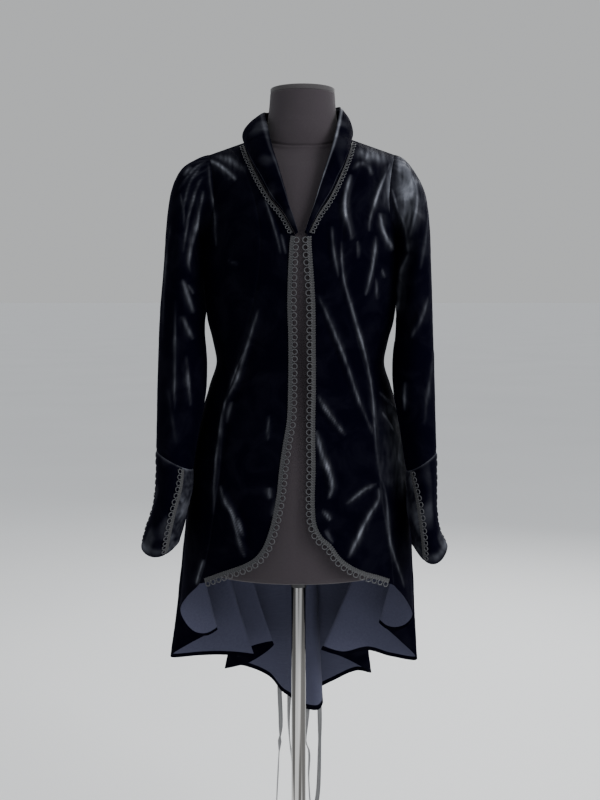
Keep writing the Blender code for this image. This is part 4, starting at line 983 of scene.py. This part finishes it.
def collarCloth():
    sizes, halves = collarSizes, {side: collarSurface(side) for side in (1, -1)}
    columns = 1 - (1 - np.linspace(0, 1, sizes["across"])) ** sizes["spread"]

    def surface(u, v):
        return np.where((v <= 1)[:, None], halves[-1](u, np.minimum(v, 1.0)), halves[1](u, np.minimum(2 - v, 1.0)))
    u, v, points, places = gridOver(surface, np.linspace(0, 2, sizes["along"]), columns)
    sign = outwardSign(places)
    wave = unevenness(points, sizes["waveScale"], 4)
    rise = sizes["wave"] * wave + sizes["crush"] * unevenness(points, sizes["crushScale"], 7)
    rise = rise * ramp(u, 0.0, sizes["fade"])
    # painted highlight on the raised waves of the collar
    napSheen = np.clip(wave * sizes["waveGain"], 0, 1) * sizes["waveSheen"]
    # painted highlights along the rolled edge and beside the braid, brighter on the wearer's left
    for amounts, (place, width), weight in (
            (sizes["rolledSheen"], sizes["rolled"], 1.0),
            (sizes["stitchSheen"], sizes["stitched"], ramp(np.abs(v - 1), *sizes["stitchSpan"]))):
        napSheen = napSheen + np.where(v > 1, *amounts) * bell(u - place, width) * weight
    napSheen = np.clip(napSheen, 0, 1)
    half = sizes["thickness"] / 2 + sizes["swell"] * np.sin(math.pi * columns) ** 0.7
    half = half * np.sqrt(np.clip((1.0 - columns) / sizes["edgeShare"], 0.04, 1.0))
    clothPiece("Collar", raised(places, gridNormals(places, sign), rise), sign, napSheen, inside="velvet",
               halves=np.where(columns < sizes["seamShare"], sizes["seamHalf"], half))


for side in (1, -1):
    sleeveCloth(side)
    cuffCloth(side, True)
    cuffCloth(side, False)
collarCloth()
print("sleeves, cuffs and collar sewn")


# Looped gimp braid

braidSizes = {
    "edge": {"band": 0.0070, "loop": 0.0042, "cord": 0.00085, "pitch": 0.0118, "bar": 0.0040, "high": 0.0013,
             "dark": 0.95},
    "collar": {"band": 0.0026, "loop": 0.0026, "cord": 0.0007, "pitch": 0.0074, "bar": 0.0026, "high": 0.0009,
               "dark": 0.75},
    "cuff": {"band": 0.0060, "loop": 0.0034, "cord": 0.0007, "pitch": 0.0092, "bar": 0.0028, "high": 0.0010,
             "dark": 0.75},
    "step": 0.0008, "under": 0.0010, "top": 0.0012, "gap": 0.0003, "frill": 0.0004,
    "shares": (0.0, 0.03, 0.16, 0.30, 0.44, 0.5, 0.56, 0.70, 0.84, 0.97, 1.0),  # points across the band
    "sides": 6, "turns": 20, "loopTurn": 158, "loopLift": 0.0019, "loopUneven": 0.0004,
    "collarInset": 0.0044, "cuffInset": 0.0030,
    "edgeSpan": (0.002, 0.998), "collarSpan": (0.03, 0.955), "cuffSpan": (0.02, 0.97),
}


def onBody(side, line, inward):  # reads points and normals beside a line of turn and level on the body
    def at(v, reach):
        turn, level = line(v)
        tangent = units(bodyPoint(side, *line(v + 0.0015)) - bodyPoint(side, *line(v - 0.0015)))
        acrossTurn = (bodyPoint(side, turn + 0.05, level) - bodyPoint(side, turn - 0.05, level)) / 0.1
        acrossLevel = (bodyPoint(side, turn, level + 0.0005) - bodyPoint(side, turn, level - 0.0005)) / 0.001
        normal = units(np.cross(acrossTurn, acrossLevel))
        normal *= facing(normal, bodyPoint(side, turn, level))
        move = np.cross(tangent, normal) * inward * reach[:, None]
        aa, ab, bb = (acrossTurn ** 2).sum(1), (acrossTurn * acrossLevel).sum(1), (acrossLevel ** 2).sum(1)
        am, bm = (acrossTurn * move).sum(1), (acrossLevel * move).sum(1)
        whole = aa * bb - ab * ab
        return bodyPoint(side, turn + (bb * am - ab * bm) / whole, level + (aa * bm - ab * am) / whole), normal
    return at


def onCuff(side, seam):  # reads points and normals beside the front or outer seam of a cuff's top panel
    surface, centre = cuffSurface(side), cuffCentre(side)

    def at(v, reach):
        turn = cuffSeam(side, v) if seam == "Front" else cuffSizes[side]["outer"] + 0 * v
        here = surface(turn, v)
        perDegree = np.linalg.norm(surface(turn + 1, v) - here, axis=1)
        shift = (braidSizes["cuffInset"] - reach) * (-1 if seam == "Front" else 1)
        here = surface(turn + shift / perDegree, v)
        acrossTurn = surface(turn + 1, v) - surface(turn - 1, v)
        normal = units(np.cross(acrossTurn, surface(turn, v + 0.01) - surface(turn, v - 0.01)))
        return here, normal * facing(normal, here - centre)
    return at


def trimPiece(place, label, at, span, sizes, inset=0.0):  # its length is measured at the inset
    common = braidSizes
    length = float(runLength(at(np.linspace(*span, 300), np.full(300, inset))[0])[-1])
    count, shares = int(length / common["step"]), np.array(common["shares"])
    v, along = np.linspace(*span, count), np.linspace(0, length, count)
    shades = np.zeros((count, len(shares)))
    tops, bottoms = np.zeros((count, len(shares), 3)), np.zeros((count, len(shares), 3))
    for j, share in enumerate(shares):
        rim = share in (0.0, 1.0)
        bars = np.abs(np.sin(math.pi * along / sizes["bar"] + 1.9 * abs(share - 0.5) * 2)) ** 1.3
        # the cords are painted lighter on their crowns and darker between them: painted highlight and painted shade
        crown = bars * (0.35 + 0.65 * abs(math.cos(3 * math.pi * share))) * (0.35 if rim else 1.0)
        shades[:, j] = sizes["dark"] * crown
        frill = common["frill"] * np.sin(2 * math.pi * along / sizes["bar"]) if share >= 0.97 else 0 * along
        points, normals = at(v, share * sizes["band"] + common["gap"] + frill)
        lift = common["top"] + (0.25 if rim else 1.0) * sizes["high"] * (0.45 + 0.55 * crown)
        tops[:, j] = points + normals * lift[:, None]
        bottoms[:, j] = points + normals * common["under"]
    vertices, faces = [tops.reshape(-1, 3), bottoms.reshape(-1, 3)], layerFaces(count, len(shares))
    # the underside of the band is painted darker: painted shade
    facts = [shades.ravel(), shades.ravel() * 0.2]
    sides, turns, made = common["sides"], common["turns"], 2 * shades.size
    loops, radius = int(length / sizes["pitch"]), sizes["loop"]
    phi = np.radians(np.linspace(-common["loopTurn"], common["loopTurn"], turns))
    for k in range(loops):
        s = np.clip((k + 0.5) * length / loops + radius * 1.05 * np.sin(phi), 0, length)
        points, normals = at(span[0] + (span[1] - span[0]) * s / length, -radius * 0.60 - radius * np.cos(phi))
        points = points + normals * (common["loopLift"] + common["loopUneven"] * math.sin(2.3 * k))
        beside = np.cross(units(np.gradient(points, axis=0)), normals)
        ring = np.stack([points + (normals * math.cos(a) + beside * math.sin(a)) * sizes["cord"]
                         for a in np.linspace(0, 2 * math.pi, sides, endpoint=False)], axis=1)
        vertices.append(ring.reshape(-1, 3))
        # loop cords painted lighter on their tops and darker underneath: painted highlight and painted shade
        facts.append(np.tile([0.95 if j in (0, 1, sides - 1) else 0.30 for j in range(sides)], turns))
        cell = made + np.arange(turns * sides).reshape(turns, sides)
        nextCell = np.roll(cell, -1, axis=1)
        faces.append(np.stack([cell[:-1], nextCell[:-1], nextCell[1:], cell[1:]], -1).reshape(-1, 4))
        for end in (cell[0], cell[-1][[0, 5, 4, 3, 2, 1]]):
            faces.append(end[np.array([[0, 5, 4, 3], [0, 3, 2, 1]])])
        made += turns * sides
    piece = finishPiece(place + "Gimp" + label, vertices, faces, [looks["gimp"]], {"crown": np.concatenate(facts)},
                        sharp=70)
    turnOutward(piece)
    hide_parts(place + "Braid" + label)


def evenLine(line, side, low, high):  # reads a line by its distance along the cloth, from 0 to 1
    fine = np.linspace(low, high, 600)
    total = alongKeys(bodyPoint(side, *line(fine)))
    return lambda v: line(np.interp(v, total, fine))


def edgeLine(side):
    edge = frontEdge(side)

    def line(v):
        out, level = edge(-v)
        return turnAt(out, level), level
    return evenLine(line, side, -formSizes["underarmLevel"], -formSizes["hemLevel"])


def neckLine(side):
    seam = through(neckTable[neckTable[:, 3] > 0][:, [ownColumn[side], 2]])

    def line(v):
        out, level = seam(v).T
        return turnAt(out, level), level
    return line


for side, label in ((1, "Left"), (-1, "Right")):
    trimPiece("Edge", label, onBody(side, edgeLine(side), -side), braidSizes["edgeSpan"], braidSizes["edge"])
    beside = onBody(side, neckLine(side), side)
    trimPiece("Collar", label, lambda v, r, at=beside: at(v, braidSizes["collarInset"] - r),
              braidSizes["collarSpan"], braidSizes["collar"], inset=braidSizes["collarInset"])
    for seam in ("Front", "Outer"):
        trimPiece("Cuff" + seam, label, onCuff(side, seam), braidSizes["cuffSpan"], braidSizes["cuff"])
print("braid laid on")


# Ribbons behind

# Routes from the knot down over the back of the skirt: out, depth, height in millimetres
tailRoutes = {
    "Tail1": [(-6, 97.5, 1026.5), (-10.5, 101.5, 990), (-15, 108.5, 960), (-24.5, 120.5, 910),
              (-32.5, 128.5, 860), (-38.5, 139.5, 800), (-42, 153.5, 740), (-43.5, 169, 680), (-44, 186, 620),
              (-44, 203.5, 560), (-43, 223, 500), (-41, 241, 450), (-39, 257, 400), (-38, 260, 365),
              (-36, 260, 300), (-39, 259.5, 250), (-42.5, 259, 180), (-45.5, 258, 118)],
    "Tail2": [(-5.2, 100, 1026.5), (-8, 105, 985), (-11, 112, 955), (-15, 123.5, 905), (-18, 131, 855),
              (-20, 141.5, 795), (-21, 154, 735), (-21, 168, 675), (-21, 184, 615), (-20.5, 199.5, 555),
              (-20, 216, 495), (-19, 230, 445), (-18.5, 245.5, 395), (-19, 251.5, 360), (-20, 252, 310),
              (-17.5, 251.5, 265), (-12, 251, 220), (-6, 250, 130)],
    "Tail3": [(5.2, 100, 1026.5), (7.5, 105, 985), (10, 112, 955), (13, 123, 905), (15.5, 130, 855),
              (16.5, 138.5, 795), (17, 149, 735), (17.5, 159, 675), (17.5, 169.5, 615), (17.5, 180, 555),
              (17.8, 192, 495), (18, 204, 445), (17.8, 215, 395), (17.5, 225, 350), (15, 227, 310),
              (14, 227, 277), (20.5, 226.5, 257), (19.5, 226, 206), (24, 225, 128)],
    "Tail4": [(6, 97.5, 1026.5), (10.5, 101.5, 990), (15, 108.5, 960), (24.5, 120.5, 910), (32.5, 128.5, 860),
              (38.5, 139, 800), (42, 152, 740), (43.5, 166.5, 680), (44, 183, 620), (44, 199.5, 560),
              (43, 219, 500), (42, 236, 450), (41.5, 252, 400), (41, 259, 365), (42, 260, 300),
              (41.5, 259.5, 250), (39, 259, 165), (33, 258, 121)],
}
# How far each ribbon is turned about its own line: height in millimetres, degrees
tailTurns = {
    "Tail1": [(100, 78), (200, 72), (248, 80), (262, 25), (275, 70), (300, 15), (345, 5), (400, 0), (1030, 0)],
    "Tail2": [(100, 30), (220, 60), (270, 75), (300, 62), (345, 40), (400, 0), (1030, 0)],
    "Tail3": [(100, 66), (200, 74), (255, 60), (280, 76), (315, 40), (340, 8), (400, 0), (1030, 0)],
    "Tail4": [(100, 35), (150, 20), (220, 35), (270, 48), (310, 12), (345, 0), (400, 0), (1030, 0)],
}
ribbonSizes = {
    "width": 0.0090, "thickness": 0.0008, "stations": 90,
    # points across the ribbon, its thickness there and how light it is coloured there
    "shares": (-1.0, -0.86, -0.3, 0.3, 0.86, 1.0), "thick": (0.35, 1.0, 0.8, 0.8, 1.0, 0.35),
    "crown": (0.45, 0.7, 1.0, 1.0, 0.7, 0.45),
    "tieTurns": (112.0, 174.6), "tieStations": 50, "tieGap": 0.0016, "tieWave": 0.0003,
}


def ribbonStrip(name, route, beside):  # a flat strip about a route; beside gives its width direction
    sizes, count = ribbonSizes, len(route)
    half, shares = sizes["width"] / 2, np.array(sizes["shares"])
    face = units(np.cross(beside, units(np.gradient(route, axis=0))))[:, None]
    places = route[:, None] + beside[:, None] * (shares * half)[None, :, None]
    thick = face * (np.array(sizes["thick"]) * sizes["thickness"] / 2)[None, :, None]
    arc = runLength(route)
    uvs = np.stack([np.tile((shares + 1) * half, (count, 1)).ravel(), np.repeat(arc, len(shares))], axis=1)
    piece = finishPiece(name, [(places + thick).reshape(-1, 3), (places - thick).reshape(-1, 3)],
                        layerFaces(count, len(shares)), [looks["ribbon"]],
                        {"crown": np.tile(sizes["crown"], 2 * count)}, uvs=uvs)
    turnOutward(piece)
    return piece, float(arc[-1])


def buildRibbons():
    sizes = ribbonSizes
    for name, rows in tailRoutes.items():
        points = metres(rows).tolist()
        route = through(points)(np.linspace(0, 1, sizes["stations"]))
        turns = np.array(tailTurns[name])
        twist = np.radians(np.interp(route[:, 2], turns[:, 0] / 1000, turns[:, 1]))[:, None]
        down = units(np.gradient(route, axis=0))
        plain = units(np.array([1.0, 0, 0]) - down * down[:, :1])
        beside = plain * np.cos(twist) + np.cross(down, plain) * np.sin(twist)
        piece, length = ribbonStrip(name + "Ribbon", route, units(beside))
        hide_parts(name)
        print(f"{name}: {length:.3f} m")
    for side in (1, -1):
        turns = np.linspace(*sizes["tieTurns"], sizes["tieStations"])
        level = formSizes["waistLevel"] + sizes["tieWave"] * np.sin(turns * 0.5)
        middle = bodyPoint(side, turns, level)
        up = units(bodyPoint(side, turns, level + 0.002) - bodyPoint(side, turns, level - 0.002))
        normal = units(np.cross(units(np.gradient(middle, axis=0)), up))
        normal *= facing(normal, middle)
        route = middle + normal * (panelSizes["thickness"] / 2 + sizes["tieGap"])
        piece, _ = ribbonStrip("TieRibbon" + sideNames[side], route, up)
        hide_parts("Tie" + sideNames[side])


knotSizes = {
    "ring": 0.0062, "cord": 0.0036, "steps": (40, 18),
    "wraps": ((90.0, (1.0, 0.62, 1.0)), (0.0, (0.55, 0.95, 0.72))),  # turn and scale of each
    "pleats": 14, "pleatDepth": 0.07, "crown": 0.8,
}


def pick(*pieces):  # selects these alone and makes the first one active
    bpy.ops.object.select_all(action="DESELECT")
    for piece in pieces:
        piece.select_set(True)
    bpy.context.view_layer.objects.active = pieces[0]


def buildKnot():  # two flattened wraps of ribbon round each other
    sizes, (low, high) = knotSizes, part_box("Knot")
    middle, parts = Vector([(a + b) / 2 for a, b in zip(low, high)]), []
    for turn, scale in sizes["wraps"]:
        bpy.ops.mesh.primitive_torus_add(major_segments=sizes["steps"][0], minor_segments=sizes["steps"][1],
                                         major_radius=sizes["ring"], minor_radius=sizes["cord"], location=middle)
        parts.append(bpy.context.object)
        parts[-1].rotation_euler, parts[-1].scale = (math.radians(90), math.radians(turn), 0), scale
        bpy.ops.object.transform_apply(location=True, rotation=True, scale=True)
    pick(*parts)
    bpy.ops.object.join()
    piece = bpy.context.object
    piece.name = "RibbonKnot"
    for point in piece.data.vertices:
        away = point.co - middle
        pleat = math.sin(sizes["pleats"] * math.atan2(away.z, away.x))
        point.co = middle + away * (1 + sizes["pleatDepth"] * pleat)
        point.co.y = min(max(point.co.y, low[1]), high[1])
    bpy.ops.object.shade_smooth()
    piece.data.materials.clear()
    piece.data.materials.append(looks["ribbon"])
    facts = piece.data.attributes.new("crown", "FLOAT", "POINT")
    facts.data.foreach_set("value", np.full(len(piece.data.vertices), sizes["crown"], np.float32))
    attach(piece, "root")
    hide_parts("Knot")


buildRibbons()
buildKnot()
print("ribbons tied")


# Dress form and stand

# How far the form lies inside the jacket: level, then less half width, front and back depth, and height
torsoTable = metres([(680, 36, 20, 35, 0), (780, 20, 11, 18, 0), (850, 14, 9, 11, 0), (950, 17, 12, 11, 0),
                     (1037, 19, 15, 11, 0), (1110, 13, 12, 8, 0), (1190, 12, 6, 6, 0), (1240, 13, 6, 6, 0),
                     (1340, 18, 6, 6, 0), (1385, 21, 6, 6, 1), (1418, 23, 4, 4, 1.4), (1437, 24, 1, 1, 1.6)])
# Neck: height, half width, half depth
neckRings = metres([(1330, 88, 60), (1385, 80, 60), (1410, 69, 60), (1428, 60, 58.5), (1442, 57.5, 56),
                    (1460, 55.5, 54), (1483, 53.8, 52.5)])
torsoSizes = {
    "around": 128, "rows": 110, "neckRows": 110, "neckLow": 1.330, "neckSeam": 1.483,
    "edgeRound": 0.006, "edgeShares": (0.0, 0.4, 0.8), "rowGap": 0.002,
    "frontSeam": 0.0007, "frontSeamWidth": 0.012,
    "blendLow": 1.360, "blendHigh": 1.432, "blendOut": 0.10, "blendSteps": 12,  # neck smoothed into the shoulders
    "baseSeam": 1.4067, "baseDrop": 0.0147, "baseDepth": 0.058, "baseOut": 0.095,
    "seamDepth": 0.0022, "seamWidth": 0.0014, "seamReach": 0.006, "uvRadius": 0.11,
}


def ringShell(name, rings):  # a closed shell through rings, with filled ends
    count, tips = len(rings[0]), [ring.mean(axis=0, keepdims=True) for ring in (rings[0], rings[-1])]
    faces, last, lowTip = [], (len(rings) - 1) * count, len(rings) * count
    for i in range(len(rings) - 1):
        for j in range(count):
            k = (j + 1) % count
            faces.append((i * count + j, i * count + k, (i + 1) * count + k, (i + 1) * count + j))
    for j in range(count):
        k = (j + 1) % count
        faces += [(k, j, lowTip), (last + j, last + k, lowTip + 1)]
    mesh = bpy.data.meshes.new(name)
    mesh.from_pydata(np.concatenate(rings + tips).tolist(), [], faces)
    shell = bpy.data.objects.new(name, mesh)
    bpy.context.scene.collection.objects.link(shell)
    return shell


def torsoRings(turns):
    sizes, bottom = torsoSizes, formSizes["bottom"]
    rows = [(bottom + sizes["edgeRound"] * 0.5 * share, sizes["edgeRound"] * (1 - math.sin(share * math.pi / 2)) * 0.6)
            for share in sizes["edgeShares"]]
    spread = 1 - (1 - np.linspace(0, 1, sizes["rows"])) ** 1.5
    levels, rings = bottom + (formSizes["shoulderLevel"] - bottom) * spread, []
    rows += [(level, 0.0) for level in levels if level > rows[-1][0] + sizes["rowGap"]]
    for level, inset in rows:
        width, front, back, drop = section(np.array([level]))[0]
        lessWidth, lessFront, lessBack, lower = curve(torsoTable[:, 0], torsoTable[:, 1:], level)[0]
        out = (width - lessWidth - inset) * np.cos(turns)
        depth = np.where(np.sin(turns) > 0, back - lessBack - inset, front - lessFront - inset) * np.sin(turns)
        depth += sizes["frontSeam"] * bell(turns - 1.5 * math.pi, sizes["frontSeamWidth"])
        height = level - drop * np.abs(out) - lower
        rings.append(np.stack([out + leanAt(height), depth, height], axis=1))
    return rings


def buildTorso():
    sizes = torsoSizes
    turns = 2 * math.pi * np.arange(sizes["around"]) / sizes["around"]
    torso, loops = ringShell("FormBody", torsoRings(turns)), []
    for height in np.linspace(sizes["neckLow"], sizes["neckSeam"], sizes["neckRows"]):
        width, depth = curve(neckRings[:, 0], neckRings[:, 1:], height)[0]
        out = width * np.cos(turns) + leanAt(height)
        loops.append(np.stack([out, depth * np.sin(turns), 0 * turns + height], axis=1))
    neck = ringShell("FormNeck", loops)
    union = torso.modifiers.new("Join", "BOOLEAN")
    union.operation, union.solver, union.object = "UNION", "EXACT", neck
    pick(torso)
    bpy.ops.object.modifier_apply(modifier="Join")
    bpy.data.objects.remove(neck, do_unlink=True)
    shell = bmesh.new()
    shell.from_mesh(torso.data)
    bmesh.ops.remove_doubles(shell, verts=shell.verts, dist=0.0002)
    near = [p for p in shell.verts
            if sizes["blendLow"] < p.co.z < sizes["blendHigh"] and abs(p.co.x) < sizes["blendOut"]]
    for _ in range(sizes["blendSteps"]):
        bmesh.ops.smooth_vert(shell, verts=near, factor=0.5, use_axis_x=True, use_axis_y=True, use_axis_z=True)
    layer = shell.loops.layers.uv.new("clothUV")
    for face in shell.faces:
        for corner in face.loops:
            p = corner.vert.co
            corner[layer].uv = (math.atan2(p.y, p.x) * sizes["uvRadius"], p.z)
    shell.to_mesh(torso.data)
    shell.free()
    torso.name = "DressFormTorso"
    for point in torso.data.vertices:  # seam round the base of the neck, lower in front
        p = point.co
        away = Vector((p.x - leanAt(p.z), p.y, 0.0))
        gap = abs(p.z - sizes["baseSeam"] + sizes["baseDrop"] * min(max(-p.y / sizes["baseDepth"], 0), 1) ** 2)
        if gap < sizes["seamReach"] and away.length < sizes["baseOut"]:
            point.co = p - away.normalized() * sizes["seamDepth"] * math.exp(-(gap / sizes["seamWidth"]) ** 2)
    torso.data.materials.append(looks["jersey"])
    torso.data.shade_smooth()
    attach(torso, "root")
    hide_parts("FormTorso")


standSizes = {
    "capRadius": 0.0536, "capLow": 1.4833, "capHigh": 1.4912, "capLeanLevel": 1.487, "capSquash": 0.976,
    "baseRadius": 0.16, "baseHeight": 0.018, "poleRadius": 0.0125, "socketRadius": 0.0135,
    "socketLow": 0.648, "formLow": 0.680,
    # for each piece: at the top or not, how far that face is inset and how far it is then lifted
    "capSteps": [(True, 0.0030, 0.0008), (True, 0.0060, -0.0003)],
    "baseSteps": [(True, 0.010, 0.0022), (True, 0.050, 0.0012), (True, 0.070, 0.0006), (False, 0.006, 0.0),
                  (False, 0.004, 0.0015)],
    "poleSteps": [(True, 0.0015, 0.0), (False, 0.0015, 0.0)],
    "socketSteps": [(False, 0.0007, 0.0), (True, 0.001, 0.0)],
}


def turnedPiece(name, solid, slot, radius, low, high, steps, bevel, x=0.0, count=64, squash=1.0):
    # a cylinder whose top and underside are inset and pushed in by the steps, then bevelled
    bpy.ops.mesh.primitive_cylinder_add(vertices=count, radius=radius, depth=high - low,
                                        location=(x, 0, (low + high) / 2), end_fill_type="NGON")
    piece = bpy.context.object
    piece.name = name
    piece.scale = (1.0, squash, 1.0)
    bpy.ops.object.transform_apply(location=True, rotation=True, scale=True)
    for isTop, inset, push in steps:
        bpy.ops.object.mode_set(mode="EDIT")
        bpy.ops.mesh.select_mode(type="FACE")
        shell = bmesh.from_edit_mesh(piece.data)
        for face in shell.faces:
            face.select = len(face.verts) == count and face.normal.z * (1 if isTop else -1) > 0.9
        shell.select_flush_mode()
        bmesh.update_edit_mesh(piece.data)
        bpy.ops.mesh.inset(thickness=inset, depth=0)
        bpy.ops.transform.translate(value=(0, 0, push))
        bpy.ops.object.mode_set(mode="OBJECT")
    made = piece.modifiers.new("Round", "BEVEL")
    made.width, made.segments, made.limit_method, made.angle_limit = bevel, 3, "ANGLE", math.radians(30)
    bpy.ops.object.modifier_apply(modifier="Round")
    bpy.ops.object.shade_smooth_by_angle(angle=math.radians(35))
    piece.data.materials.clear()
    piece.data.materials.append(looks[slot])
    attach(piece, "root")
    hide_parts(solid)


def buildStand():
    size = standSizes
    turnedPiece("NeckCapDisc", "NeckCap", "cap", size["capRadius"], size["capLow"], size["capHigh"], size["capSteps"],
                0.0012, x=leanAt(size["capLeanLevel"]), count=96, squash=size["capSquash"])
    bpy.ops.object.mode_set(mode="EDIT")
    bpy.ops.mesh.select_all(action="SELECT")
    bpy.ops.uv.cube_project(cube_size=1.0)
    bpy.ops.object.mode_set(mode="OBJECT")
    turnedPiece("StandBase", "Base", "base", size["baseRadius"], 0.0, size["baseHeight"] - 0.004, size["baseSteps"],
                0.0016, count=128)
    turnedPiece("StandPole", "Pole", "chrome", size["poleRadius"], size["baseHeight"] - 0.001,
                size["socketLow"] + 0.001, size["poleSteps"], 0.0004)
    turnedPiece("StandSocket", "Socket", "socket", size["socketRadius"], size["socketLow"], size["formLow"],
                size["socketSteps"], 0.0006)


buildTorso()
buildStand()
print("form and stand made")
# Camera, floor and light

viewSizes = {"place": (0.0025, -1.885, 1.142), "pitch": 5.15, "lens": 49.9, "sensor": 36.0}
lightSizes = {
    "sky": (0.78, 0.80, 0.83), "skyStrength": 0.80, "wall": (0.526, 0.536, 0.542), "floor": 900,
    # place, aim, width and power
    "lamps": {"WindowLight": ((2.3, -1.7, 2.3), (0.0, 0.0, 1.1), 1.5, 95.0),
              "FillLight": ((-2.6, -0.6, 1.9), (0.0, 0.0, 1.1), 1.6, 8.0),
              "BackLight": ((0.9, 2.4, 2.4), (0.0, 0.0, 1.0), 1.8, 60.0),
              "TopLight": ((0.2, 0.6, 3.2), (0.0, 0.0, 1.2), 1.8, 12.0)},
}


def placed(name, data, place, rotation):
    made = bpy.data.objects.new(name, data)
    made.location, made.rotation_euler = place, rotation
    bpy.context.scene.collection.objects.link(made)
    return made


def buildStage():
    bpy.ops.mesh.primitive_grid_add(x_subdivisions=8, y_subdivisions=8, size=lightSizes["floor"], location=(0, 0, 0))
    floor = bpy.context.object
    floor.name = "Floor"
    look, tree, shader = newLook("PaleFloor")
    tone = join(tree, node(tree, "TexNoise", (-500, 100), Scale=0.7, Detail=2.0), Vector=where(tree, "Object"))
    join(tree, shader, Base_Color=mixed(tree, (-250, 200), tone.outputs["Fac"], (0.81, 0.82, 0.82), (0.89, 0.90, 0.90)))
    settle(shader, Roughness=0.85)
    floor.data.materials.append(look)
    sky = bpy.data.worlds.new("Studio")
    sky.use_nodes = True
    tree = sky.node_tree
    shade = settle(tree.nodes["Background"], Color=(*lightSizes["sky"], 1), Strength=lightSizes["skyStrength"])
    wall = node(tree, "Background", (0, 150), Color=(*lightSizes["wall"], 1))
    both = node(tree, "MixShader", (200, 100))
    ray = node(tree, "LightPath", (0, 500)).outputs["Is Camera Ray"]
    for source, socket in zip((ray, shade.outputs[0], wall.outputs[0]), both.inputs):
        tree.links.new(source, socket)
    join(tree, tree.nodes["World Output"], Surface=both.outputs[0])
    bpy.context.scene.world = sky
    for name, (place, aim, wide, power) in lightSizes["lamps"].items():
        lamp = bpy.data.lights.new(name, "AREA")
        lamp.size, lamp.energy = wide, power
        placed(name, lamp, place, (Vector(aim) - Vector(place)).to_track_quat("-Z", "Y").to_euler())
    lens = bpy.data.cameras.new("PhotoView")
    lens.sensor_width, lens.sensor_fit, lens.lens = viewSizes["sensor"], "AUTO", viewSizes["lens"]
    bpy.context.scene.camera = placed("PhotoView", lens, viewSizes["place"],
                                      (math.radians(90 - viewSizes["pitch"]), 0, 0))


buildStage()
